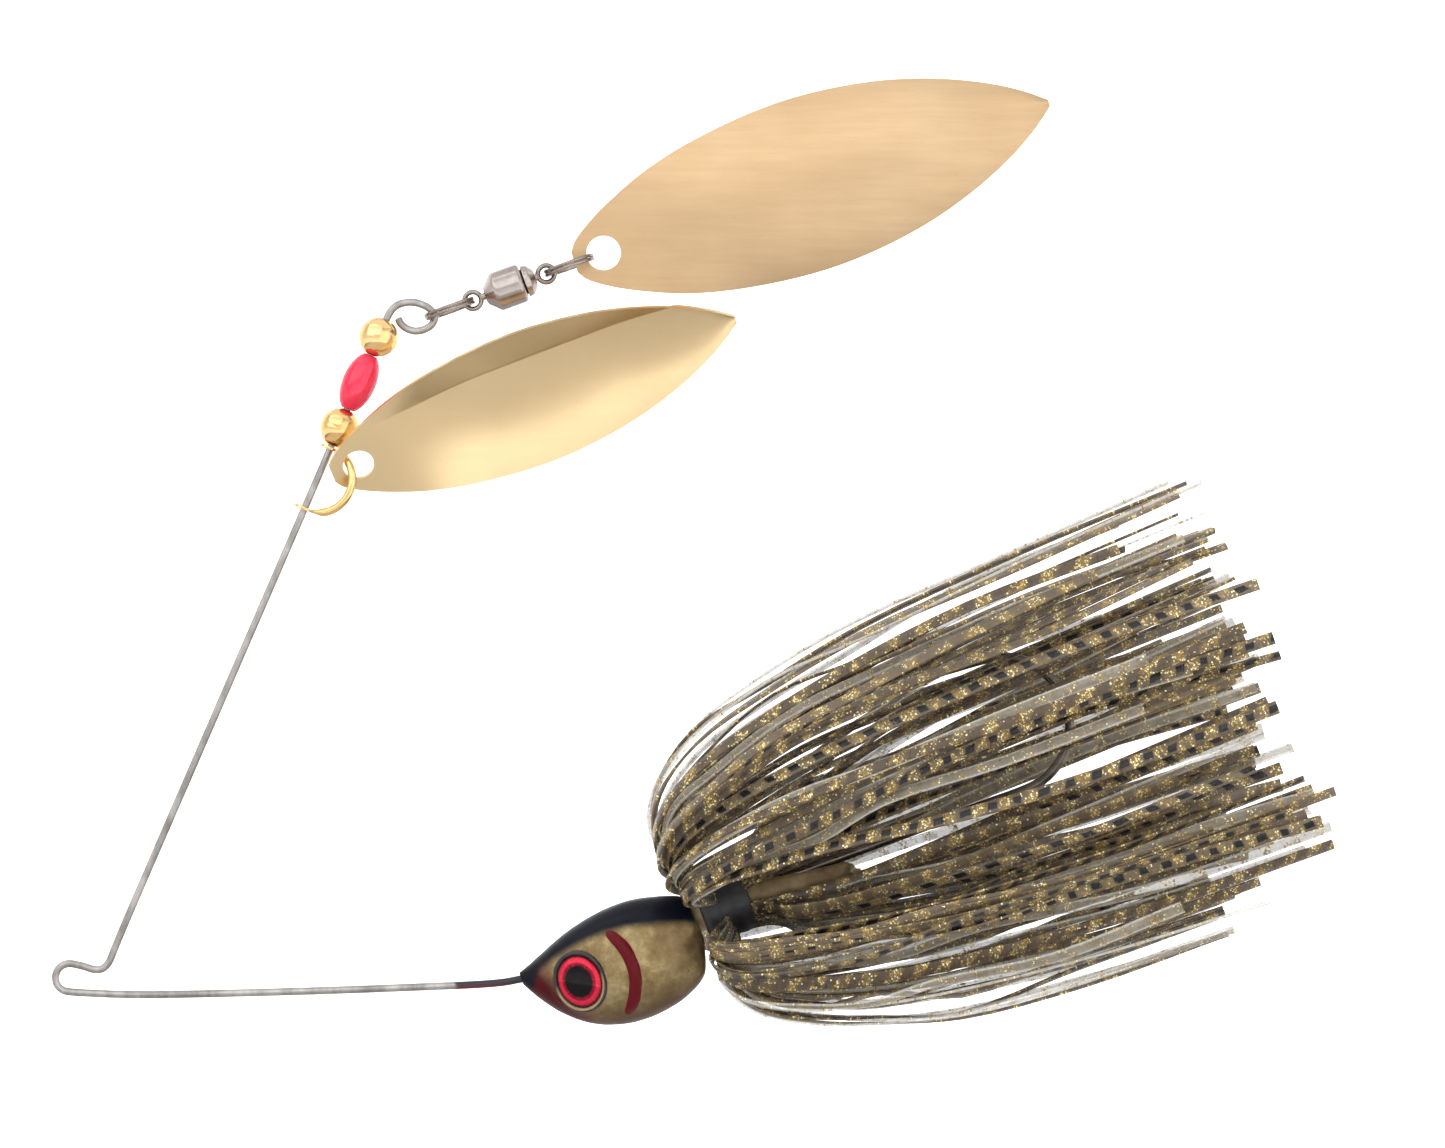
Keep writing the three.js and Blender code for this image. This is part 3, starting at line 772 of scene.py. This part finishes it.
def eye_axes(side):
    """Centre, right, up and outward direction of the eye on that side."""
    out = Vector((0, side * math.cos(EYE_LOOK), 0)) - LURE.along * math.sin(EYE_LOOK)
    right = LURE.along * math.cos(EYE_LOOK) + Vector((0, side * math.sin(EYE_LOOK), 0))
    return LURE(EYE_S, side * EYE_OUT, EYE_N), right, LURE.up, out


def gill_share(p):
    """1 in the middle of the gill slit, 0 at its edge and beyond."""
    x, z = p.x - GILL_X, p.z - GILL_Z
    across = (math.hypot(x, z) - GILL_R) / GILL_HALF
    around = (math.atan2(z, x) - GILL_MIDDLE) / GILL_SPAN
    return max(0.0, 1 - across**2 - around**6)


HEAD_SIDES, HEAD_SPAN = 120, 11
SEAT_R, SEAT_EDGE, LIP_R, LIP_WIDTH, LIP_RAISED = 2.95, 3.3, 3.4, 0.25, 0.16
CAST_LUMPS = 0.03


def head_shell():
    """The casting with its raised gills, and a seat with a raised lip under each eye."""
    rows = route([Vector(row[:3]) for row in HEAD], HEAD_SPAN)
    widths = route([Vector((row[0], row[3], 0)) for row in HEAD], HEAD_SPAN)
    rings = []
    for row, width in zip(rows, widths):
        middle, tall = (row.y + row.z) / 2, (row.y - row.z) / 2
        ring = []
        for k in range(HEAD_SIDES):
            a = 2 * math.pi * k / HEAD_SIDES
            ring.append(LURE(row.x, width.y * math.sin(a), middle + tall * math.cos(a)))
        rings.append(ring)
    bm = bmesh.new()
    skin(bm, rings)
    for v in bm.verts:
        side = 1 if v.co.y > 0 else -1
        centre, right, up, out = eye_axes(side)
        d = v.co - centre
        away = math.hypot(d.dot(right), d.dot(up) / EYE_TALL)
        if d.dot(out) > -2.5:
            rim = math.exp(-(((away - LIP_R) / LIP_WIDTH) ** 2))
            seat = 1 - smooth(away, SEAT_R, SEAT_EDGE)
            v.co += out * (LIP_RAISED * rim + seat * min(0, -0.05 - d.dot(out)))
        if abs(v.co.y) > 1.0:
            v.co.y += side * GILL_RAISED * smooth(gill_share(v.co), 0, 0.75)
        v.co += (v.co - centre).normalized() * CAST_LUMPS * field.noise(v.co * 0.9)
    return bm


def keeper_parts():
    """Neck and barbed bait keeper behind the head, cast rough."""
    def pin(place, low, high, r_low, r_high, sides=20):
        rows = [(low, 0.0)]
        for k in range(13):
            t = k / 12
            rows.append((low + (high - low) * t, r_low + (r_high - r_low) * t))
        rows.append((high, 0.0))
        return lathe(rows, place, sides)

    parts = [pin(LURE, 19.8, 30, 2.1, 2.1, 28)]
    arm = Place(*LURE(35.2, 0, -0.9).xz, 15)
    parts.append(pin(arm, -6.0, 5.2, 1.9, 1.28, 24))
    parts.append(pin(arm, 5.2, 6.1, 1.28, 0.8, 24))
    spike = Place(*LURE(40.6, 0, -3.3).xz, -90)
    parts.append(pin(spike, -2.2, 2.2, 0.75, 0.22))
    for side in (-1, 1):
        bm = bmesh.new()
        points = [LURE(40.8, side * y, -1.2) for y in (0.4, 1.2, 2.2, 3.0, 3.6)]
        radii = (0.72, 0.66, 0.45, 0.3, 0.12)
        sweep(bm, points, lambda i, r=radii: round_section(r[i], 16), Vector((1, 0, 0)))
        parts.append(bm)
    return parts


def head_material():
    """Lacquer over lead: black back, crimson nose and gills, mottled gold sides, dull belly
    darkened further as painted shade.
    """
    p = Paint("head_paint", Specular_IOR_Level=0.09, Coat_Weight=0.08, Coat_Roughness=0.08)

    def measure(direction, zero):
        dot = p.node("VectorMath", Vector=p.coord)
        dot.operation = "DOT_PRODUCT"
        dot.inputs[1].default_value = direction
        return p.math("MULTIPLY_ADD", dot.outputs["Value"], 1000.0, -zero)

    s = measure(LURE.along, LURE.along.dot(LURE.origin))
    n = measure(LURE.up, LURE.up.dot(LURE.origin))
    grit = p.noise(420, 5)
    soft = p.noise(150, 4)
    gold = p.ramp(p.noise(330, 6, rough=0.7), (0.32, (0.13, 0.083, 0.034)),
                  (0.5, (0.23, 0.165, 0.074)), (0.68, (0.40, 0.315, 0.165)))
    # darker brown mottling over the back of the head, 15 to 21 mm behind the nose
    rear_darkening = p.math("MULTIPLY", p.range(s, 15, 21, 0, 1), p.range(grit, 0.42, 0.6, 0, 0.9))
    gold = p.mix(rear_darkening, gold, (0.16, 0.10, 0.05))
    # the belly is a duller taupe paint, darkened further as painted shade on the underside
    below = p.math("MULTIPLY_ADD", soft, 2.0, n)
    belly = p.range(below, -4.2, -7.6, 0, 0.92, "SMOOTHSTEP")
    skin_tone = p.mix(belly, gold, (0.085, 0.048, 0.028))
    # crimson fades back from the nose, further along the throat
    back = p.math("MULTIPLY_ADD", p.math("MINIMUM", n, -0.5), 0.42, s)
    blush = p.range(p.math("MULTIPLY_ADD", grit, 1.4, back), 2.3, 5.6, 1, 0, "SMOOTHSTEP")
    skin_tone = p.mix(blush, skin_tone, (0.06, 0.002, 0.005))
    # the black back dips towards both ends
    dip = p.math("POWER", p.math("SUBTRACT", s, 10.5), 2.0)
    line = p.math("MULTIPLY_ADD", dip, -0.022, 1.95)
    over = p.math("SUBTRACT", p.math("MULTIPLY_ADD", soft, 0.5, n), line)
    nose = p.range(s, 0.4, 2.6, 1.6, 0, "SMOOTHSTEP")
    over = p.math("ADD", over, nose)
    black = p.range(over, -0.5, 0.75, 0, 1, "SMOOTHSTEP")
    skin_tone = p.mix(black, skin_tone, (0.003, 0.004, 0.009))
    # gill slit
    split = p.node("SeparateXYZ", Vector=p.coord).outputs
    x = p.math("MULTIPLY_ADD", split["X"], 1000.0, -GILL_X)
    z = p.math("MULTIPLY_ADD", split["Z"], 1000.0, -GILL_Z)
    reach = p.math("SQRT", p.math("ADD", p.math("MULTIPLY", x, x), p.math("MULTIPLY", z, z)))
    ripple = p.math("MULTIPLY_ADD", grit, 0.35, reach)
    across = p.math("DIVIDE", p.math("SUBTRACT", ripple, GILL_R + 0.17), GILL_HALF)
    angle = p.math("DIVIDE", p.math("SUBTRACT", p.math("ARCTAN2", z, x), GILL_MIDDLE), GILL_SPAN)
    ends = p.math("POWER", p.math("ABSOLUTE", angle), 6.0)
    share = p.math("ADD", p.math("MULTIPLY", across, across), ends)
    gill = p.range(share, 0.86, 1.05, 1, 0)
    skin_tone = p.mix(gill, skin_tone, (0.10, 0.002, 0.006))
    # the keeper behind the collar is bare lacquered lead
    bare = p.range(s, 21.5, 22.5, 0, 1)
    lead = p.ramp(grit, (0.3, (0.20, 0.135, 0.065)), (0.7, (0.42, 0.32, 0.18)))
    p.set(Base_Color=p.mix(bare, skin_tone, lead))
    dark = p.math("MAXIMUM", p.math("MAXIMUM", black, gill), blush)
    p.set(Metallic=p.range(dark, 0, 1, 0.45, 0.0))
    p.set(Roughness=p.range(grit, 0.3, 0.7, 0.26, 0.42))
    p.set(Normal=p.bump(grit, 0.2, 0.00004))
    return p.mat


def measured_uv(obj, origin, right, up):
    """Keeps each point's place across the eye, in millimetres, as a UV map."""
    layer = obj.data.uv_layers.new(name="face_mm")
    for loop in obj.data.loops:
        d = obj.data.vertices[loop.vertex_index].co / MM - origin
        layer.data[loop.index].uv = (d.dot(right), d.dot(up))


def eye_material():
    """Printed resin eye: black pupil, crimson iris with radial streaks, black rim."""
    p = Paint("eye_resin", Specular_IOR_Level=0.1, Coat_Weight=0.08, Coat_Roughness=0.03)
    split = p.uv("face_mm")
    x = p.math("SUBTRACT", split["X"], 0.15)
    y = p.math("MULTIPLY", p.math("SUBTRACT", split["Y"], 0.08), 1 / EYE_TALL)
    r = p.math("SQRT", p.math("ADD", p.math("MULTIPLY", x, x), p.math("MULTIPLY", y, y)))
    around = p.math("ARCTAN2", y, x)
    streak = p.node("CombineXYZ", X=p.math("MULTIPLY", around, 3.0), Y=p.math("MULTIPLY", r, 0.5))
    fibre = p.noise(3.0, 4, streak.outputs[0])
    wobble = p.math("MULTIPLY_ADD", fibre, 0.12, r)
    iris = p.ramp(p.range(r, 1.6, 2.7, 0, 1),
                  (0.0, (0.10, 0.002, 0.006)), (0.3, (0.24, 0.006, 0.018)),
                  (0.45, (0.60, 0.020, 0.055)), (0.72, (0.52, 0.014, 0.042)),
                  (0.84, (0.17, 0.004, 0.012)), (1.0, (0.09, 0.002, 0.006)))
    iris = p.mix(p.range(fibre, 0.45, 0.75, 0, 0.3), iris, (0.70, 0.06, 0.11))
    pupil = p.range(wobble, 1.64, 1.76, 1, 0)
    rim = p.range(wobble, 2.62, 2.74, 0, 1)
    dark = p.math("MAXIMUM", pupil, rim)
    p.set(Base_Color=p.mix(dark, iris, (0.004, 0.003, 0.004)))
    p.set(Metallic=p.range(dark, 0, 1, 0.35, 0))
    p.set(Roughness=p.range(fibre, 0.3, 0.7, 0.07, 0.12))
    return p.mat


def rim_material():
    """Dark paint line round the eye, with a sliver of bare brass on its lower inner edge."""
    p = Paint("eye_socket", Roughness=0.3)
    grain = p.noise(900, 4)
    split = p.uv("face_mm")
    y = p.math("MULTIPLY", split["Y"], 1 / EYE_TALL)
    squares = p.math("MULTIPLY", split["X"], split["X"]), p.math("MULTIPLY", y, y)
    r = p.math("SQRT", p.math("ADD", *squares))
    brass = p.math("MULTIPLY", p.range(r, 2.98, 3.06, 1, 0), p.range(y, -0.6, 0.4, 1, 0))
    line = p.ramp(grain, (0.35, (0.006, 0.004, 0.004)), (0.65, (0.03, 0.018, 0.014)))
    p.set(Base_Color=p.mix(brass, line, (0.30, 0.20, 0.10)))
    p.set(Roughness=p.range(grain, 0.3, 0.7, 0.25, 0.45))
    p.set(Normal=p.bump(grain, 0.25, 0.00003))
    return p.mat


def build_eyes():
    resin, rim_mat = eye_material(), rim_material()
    for side, name in ((-1, "near"), (1, "far")):
        centre, right, up, out = eye_axes(side)

        def place(r, h, a):
            return centre + right * (r * math.cos(a)) + up * (r * math.sin(a) * EYE_TALL) + out * h

        def spun(profile, count=72):
            bm = bmesh.new()
            turns = [2 * math.pi * k / count for k in range(count)]
            skin(bm, [[place(r, h, a) for a in turns] for r, h in profile])
            return bm

        dome = [(EYE_R, 0.0), (EYE_R, 0.14)]
        for k in range(1, 15):
            a = math.pi / 2 * k / 15
            dome.append((EYE_R * math.cos(a) ** 0.9, 0.14 + 0.76 * math.sin(a)))
        dome.append((0.02, 0.9))
        obj = piece(f"eye_{name}_dome", spun(dome), resin, "frame", f"eye_{name}")
        measured_uv(obj, centre, right, up)
        ring = [(2.72, -0.12), (2.74, 0.1), (2.86, 0.2), (3.0, 0.24), (3.14, 0.2), (3.26, 0.02),
                (3.28, -0.12)]
        ring.append(ring[0])
        obj = piece(f"eye_{name}_socket", spun(ring), rim_mat, "frame", None)
        measured_uv(obj, centre, right, up)


def build_head():
    bm = combined(head_shell(), keeper_parts())
    piece("head_casting", bm, head_material(), "frame", "head", 50)
    build_eyes()


# ------ hook and collar

BEND_S, BEND_R, SHANK_N, HOOK_R = 63.3, 8.1, 0.6, 0.6


def hook_material():
    p = Paint("hook_steel", Metallic=1.0)
    marks = p.noise(800, 4, p.stretch((0.3, 1, 1)))
    tone = p.ramp(p.noise(240, 4), (0.3, (0.055, 0.045, 0.035)), (0.7, (0.16, 0.135, 0.11)))
    p.set(Base_Color=p.mix(p.range(marks, 0.4, 0.7, 0, 0.5), tone, (0.28, 0.24, 0.20)))
    p.set(Roughness=p.range(marks, 0.3, 0.7, 0.2, 0.38))
    p.set(Normal=p.bump(marks, 0.15, 0.00002))
    return p.mat


def build_hook():
    """Shank, round bend and ground point, with a barb raised from the point."""
    top = SHANK_N + 2 * BEND_R
    rows = [(15, SHANK_N), (22, SHANK_N), (34, SHANK_N), (46, SHANK_N), (58, SHANK_N)]
    rows += [(BEND_S + BEND_R * math.cos(a), SHANK_N + BEND_R * (1 + math.sin(a)))
             for a in arc(14, -90, 90)]
    rows += [(60.2, top + 0.2), (57.5, top + 0.4), (54.2, top + 0.62), (51.4, top + 0.82)]
    points = route([LURE(s, 0, n) for s, n in rows], 6)
    bm = tube(points, lambda t: HOOK_R * (1 - smooth(t, 0.93, 1.0) * 0.92))
    barb = bmesh.new()
    cut = [LURE(s, 0, n) for s, n in ((53.9, top + 0.45), (55.0, top + 0.1), (56.2, top - 0.35),
                                      (56.9, top - 0.62))]
    sizes = (0.3, 0.3, 0.2, 0.05)
    sweep(barb, cut, lambda i: [(x * 0.8, y) for x, y in round_section(sizes[i], 12)])
    bm = combined(bm, [barb])
    piece("hook_wire", bm, hook_material(), "frame", "hook", 50)


def build_collar():
    p = Paint("collar_rubber")
    grain = p.noise(600, 5)
    p.set(Base_Color=p.ramp(grain, (0.3, (0.004, 0.004, 0.005)), (0.7, (0.016, 0.016, 0.018))))
    p.set(Roughness=p.range(grain, 0.3, 0.7, 0.42, 0.62))
    p.set(Normal=p.bump(grain, 0.4, 0.00006))
    rows = [(22.6, 2.25), (22.6, 3.25)]
    for k in range(25):
        t = k / 24
        belly = 3.55 + 0.33 * math.sin(math.pi * t) ** 0.5
        rows.append((22.75 + 5.7 * t, belly + 0.05 * math.sin(2 * math.pi * 3 * t)))
    rows += [(28.6, 3.25), (28.6, 2.25)]
    piece("collar", lathe(rows, LURE, 64), p.mat, "frame", "skirt_collar", 50)


# ------ skirt

# distance from the nose and from the lure axis, from the collar to the tips
OUTER_SWEEP = [
    (25.5, 2.9), (24.3, 4.3), (21.9, 7.4), (20.7, 11.6), (22.6, 16.4), (28.6, 21.2), (39, 24.8),
    (52, 26.9), (72, 28.8), (95, 29.8),
]
INNER_SWEEP = [(27.5, 3.2), (29.6, 4.6), (34, 6.6), (41, 9.4), (52, 12.7), (70, 14.9), (94, 16.0)]
OUTER_LOCKS, INNER_LOCKS = 12, 6
OUTER_STRANDS, INNER_STRANDS = 9, 7
CLEAR, BROWN, PRINTED = 0.0, 0.5, 1.0
STRAND_STEPS = 44


def strand_section(wide, thick):
    """A sheet-cut strand: flat faces and small rounded corners."""
    w, t, c = wide / 2, thick / 2, thick * 0.22
    left = [(-w + c, -t), (-w, -t + c), (-w, t - c), (-w + c, t)]
    right = [(w - c, t), (w, t - c), (w, -t + c), (w - c, -t)]
    return [*left[1:], *right, left[0]]


def strand_route(sweep_rows, turn, share, length, sway, rng):
    """One strand's centreline: share scales its reach, sway bends its free end."""
    low = (1 - math.cos(turn)) / 2
    points = []
    tip_turn = turn + sway
    loose_end = rng.choice((0.45, 0.45, 0.6, 1.1))
    for i, (along, away) in enumerate(sweep_rows):
        t = i / (len(sweep_rows) - 1)
        reach = 1 + (share - 1) * smooth(t, 0.05, 0.6)
        spread = 1 - 0.16 * low * smooth(away, 6, 12)
        back = 2.6 * low * (1 - smooth(along, 24, 60)) * smooth(t, 0, 0.2)
        back += (1 - share) * 9 * smooth(t, 0.1, 0.4) * (1 - smooth(t, 0.5, 0.9))
        back -= 1.7 * abs(math.sin(turn)) * smooth(t, 0.1, 0.3) * (1 - smooth(t, 0.4, 0.7))
        r = away * reach * spread
        a = turn + (tip_turn - turn) * smooth(t, 0.35, 1)
        s = along + back
        if s > 30:
            s = 30 + (s - 30) * length
        wave = loose_end * smooth(t, 0.3, 1)
        points.append(LURE(s, 0.88 * r * math.sin(a) + rng.gauss(0, wave),
                           r * math.cos(a) + rng.gauss(0, wave)))
    return points, Vector((0, math.cos(turn), 0)) - LURE.up * math.sin(turn)


def add_strand(bm, layers, points, across, wide, thick, twist, kind, tone, rng):
    """Sweeps one strand, with its place along itself as a UV map and its facts as a colour."""
    coords, facts = layers
    path = route(points, max(2, STRAND_STEPS // (len(points) - 1)))
    last = len(path) - 1
    offset = rng.uniform(0, 50)
    phase = rng.uniform(0, 6)

    def side(i):
        ahead = (path[min(i + 1, last)] - path[max(i - 1, 0)]).normalized()
        lateral = (across - ahead * across.dot(ahead)).normalized()
        angle = twist * math.sin(phase + 3.2 * i / last) * smooth(i / last, 0.1, 0.5)
        return Matrix.Rotation(angle, 3, ahead) @ lateral

    section = strand_section(wide, thick)
    start = len(bm.faces)
    rows = sweep(bm, path, lambda i: section, side)
    bm.faces.ensure_lookup_table()
    run, lengths = 0.0, []
    for i, p in enumerate(path):
        run += (p - path[i - 1]).length if i else 0
        lengths.append(run)
    where = {}
    for i, row in enumerate(rows):
        for k, v in enumerate(row):
            where[v] = (section[k][0] / wide + 0.5, lengths[i])
            # the third fact is the run from the collar, up to 12 mm; the skirt material darkens it
            # there as painted shade
            v[facts] = (kind, tone, min(lengths[i] / 12, 1), 1)
    for face in bm.faces[start:]:
        for loop in face.loops:
            u, along = where[loop.vert]
            loop[coords].uv = (u, (along + offset) / 100)


def skirt_material():
    """Silicone strands: smoky and clear, with gold flake in clusters and black printed bars."""
    p = Paint("skirt_silicone", IOR=1.41, Subsurface_Weight=0.25,
              Subsurface_Radius=(0.0008, 0.0006, 0.0004), Subsurface_Scale=1.0)
    split = p.uv("strand")
    u, along = split["X"], p.math("MULTIPLY", split["Y"], 100.0)
    facts = p.node("Attribute")
    facts.attribute_name = "strand_facts"
    given = p.node("SeparateXYZ", Vector=facts.outputs["Vector"]).outputs
    kind, tone, free = given["X"], given["Y"], given["Z"]
    smoky = p.range(kind, 0.1, 0.4, 0, 1)
    printed = p.range(kind, 0.7, 0.9, 0, 1)

    flat = p.node("CombineXYZ", X=u, Y=along, Z=p.math("MULTIPLY", tone, 37.0)).outputs[0]
    cloud = p.noise(0.35, 3, flat)
    fine = p.noise(2.2, 4, flat)
    brown = p.ramp(p.math("MULTIPLY_ADD", tone, 0.6, p.math("MULTIPLY", cloud, 0.5)),
                   (0.15, (0.067, 0.045, 0.027)), (0.5, (0.118, 0.086, 0.054)),
                   (0.9, (0.212, 0.165, 0.113)))
    clear = p.ramp(cloud, (0.3, (0.28, 0.25, 0.19)), (0.7, (0.48, 0.44, 0.36)))
    # painted highlight: the clear strands are lightened towards white along both edges
    edge = p.range(p.math("ABSOLUTE", p.math("SUBTRACT", u, 0.5)), 0.3, 0.46, 0, 0.85)
    clear = p.mix(edge, clear, (0.92, 0.90, 0.86))
    body = p.mix(smoky, clear, brown)
    body = p.mix(p.range(fine, 0.4, 0.7, 0, 0.35), body, (0.10, 0.075, 0.05))
    # painted shade: darker near the collar, where the strands crowd together
    body = p.mix(p.range(free, 0.05, 0.7, 0.85, 0.05), body, (0.022, 0.016, 0.011))

    # flake lies in blotches a few millimetres apart, with bars printed between them
    skew = p.math("MULTIPLY_ADD", u, p.math("MULTIPLY_ADD", tone, 2.4, -1.2), along)
    skew = p.math("MULTIPLY_ADD", cloud, 1.6, skew)
    pitch = p.math("MULTIPLY_ADD", p.math("FRACT", p.math("MULTIPLY", tone, 7.0)), 1.5, 2.6)
    beat = p.math("FRACT", p.math("DIVIDE", skew, pitch))
    patch = p.range(p.math("ABSOLUTE", p.math("SUBTRACT", beat, 0.5)), 0.16, 0.34, 1, 0)
    patch = p.math("MULTIPLY", patch, p.range(p.noise(0.9, 3, flat), 0.38, 0.56, 0.15, 1))
    cells = p.node("TexVoronoi", Vector=p.stretch((6.0, 4.4, 1), source=flat), Scale=1.0)
    pick = p.node("SeparateColor", Color=cells.outputs["Color"]).outputs
    near = p.range(cells.outputs["Distance"], 0.45, 0.55, 1, 0)
    dense = p.math("MULTIPLY_ADD", patch, p.range(smoky, 0, 1, 0.45, 0.8), 0.05)
    flake = p.math("MULTIPLY", near, p.math("LESS_THAN", pick[0], dense))
    gold = p.ramp(pick[1], (0.15, (0.30, 0.17, 0.03)), (0.55, (0.60, 0.43, 0.14)),
                  (0.95, (0.90, 0.84, 0.50)))
    glow = p.math("MULTIPLY", patch, p.range(smoky, 0, 1, 0.1, 0.45))
    body = p.mix(glow, body, (0.33, 0.24, 0.095))
    body = p.mix(flake, body, gold)

    beat = p.math("FRACT", p.math("ADD", beat, 0.5))
    bar = p.range(p.math("ABSOLUTE", p.math("SUBTRACT", beat, 0.5)), 0.16, 0.20, 1, 0)
    lean = p.math("MULTIPLY_ADD", cloud, 0.5, p.math("SUBTRACT", u, 0.75))
    inside = p.range(p.math("ABSOLUTE", lean), 0.23, 0.30, 1, 0)
    ink = p.math("MULTIPLY", p.math("MULTIPLY", bar, inside), printed)
    ink = p.math("MULTIPLY", ink, p.range(fine, 0.28, 0.36, 0, 1))
    body = p.mix(ink, body, (0.004, 0.004, 0.004))

    solid = p.math("MAXIMUM", flake, ink)
    p.set(Base_Color=body)
    p.set(Metallic=p.math("MULTIPLY", flake, 0.55))
    p.set(Alpha=p.math("MAXIMUM", solid, p.range(smoky, 0, 1, 0.5, 0.86)))
    p.set(Roughness=p.range(fine, 0.3, 0.7, 0.22, 0.4))
    p.set(Normal=p.bump(p.math("ADD", fine, flake), 0.25, 0.00004))
    return p.mat


PART_AT, PART_REACH, PART_GAP = math.radians(268), math.radians(58), math.radians(15)
PRINTED_LOCKS, STRAYS, FULL_LENGTH = 0.65, 0.1, 0.72


def parted(turn):
    """Opens the strands on the viewer's side, where the collar and the keeper show."""
    delta = turn - PART_AT
    if abs(delta) >= PART_REACH:
        return turn
    open_by = PART_GAP + abs(delta) * (PART_REACH - PART_GAP) / PART_REACH
    return PART_AT + math.copysign(open_by, delta)


def build_lock(name, sweep_rows, turn, step, strands, shares, mat, rng):
    """One lock of strands about its own turn, standing in for the CAD lock of the same number."""
    bm = bmesh.new()
    coords = bm.loops.layers.uv.new("strand")
    facts = bm.verts.layers.float_color.new("strand_facts")
    tuft = rng.gauss(0, math.radians(3))
    printed_lock = rng.random() < PRINTED_LOCKS
    for k in range(strands):
        place = (k + 0.5) / strands - 0.5
        a = turn + place * step + rng.gauss(0, step * 0.06)
        a = a if rng.random() < STRAYS else parted(a)
        share = rng.uniform(*shares)
        under = smooth(-math.cos(a), 0.6, 0.95)
        full = rng.random() < FULL_LENGTH
        length = rng.uniform(0.93, 1.02) if full else rng.uniform(0.70, 0.93)
        length *= 1 - 0.2 * under
        sway = tuft - place * step * 0.5 + rng.gauss(0, math.radians(2.6))
        kind = rng.choices((CLEAR, BROWN, PRINTED), (0.24, 0.38, 0.38 if printed_lock else 0.12))[0]
        wide = rng.uniform(1.15, 1.6)
        points, across = strand_route(sweep_rows, a, share, length, sway, rng)
        add_strand(bm, (coords, facts), points, across, wide, rng.uniform(0.26, 0.34),
                   rng.uniform(0.1, 0.9), kind, rng.random(), rng)
    piece(name, bm, mat, "frame", name.replace("strands", "skirt"), 50)


def build_skirt():
    mat = skirt_material()
    rng = random.Random(11)
    for i in range(OUTER_LOCKS):
        turn = 2 * math.pi * (i + 0.5) / OUTER_LOCKS
        build_lock(f"strands_outer_{i + 1}", OUTER_SWEEP, turn, 2 * math.pi / OUTER_LOCKS,
                   OUTER_STRANDS, (0.66, 1.0), mat, rng)
    for i in range(INNER_LOCKS):
        turn = 2 * math.pi * (i + 0.5) / INNER_LOCKS
        build_lock(f"strands_inner_{i + 1}", INNER_SWEEP, turn, 2 * math.pi / INNER_LOCKS,
                   INNER_STRANDS, (0.75, 1.25), mat, rng)


build_hardware()
build_blades()
build_chain()
build_head()
build_hook()
build_collar()
build_skirt()
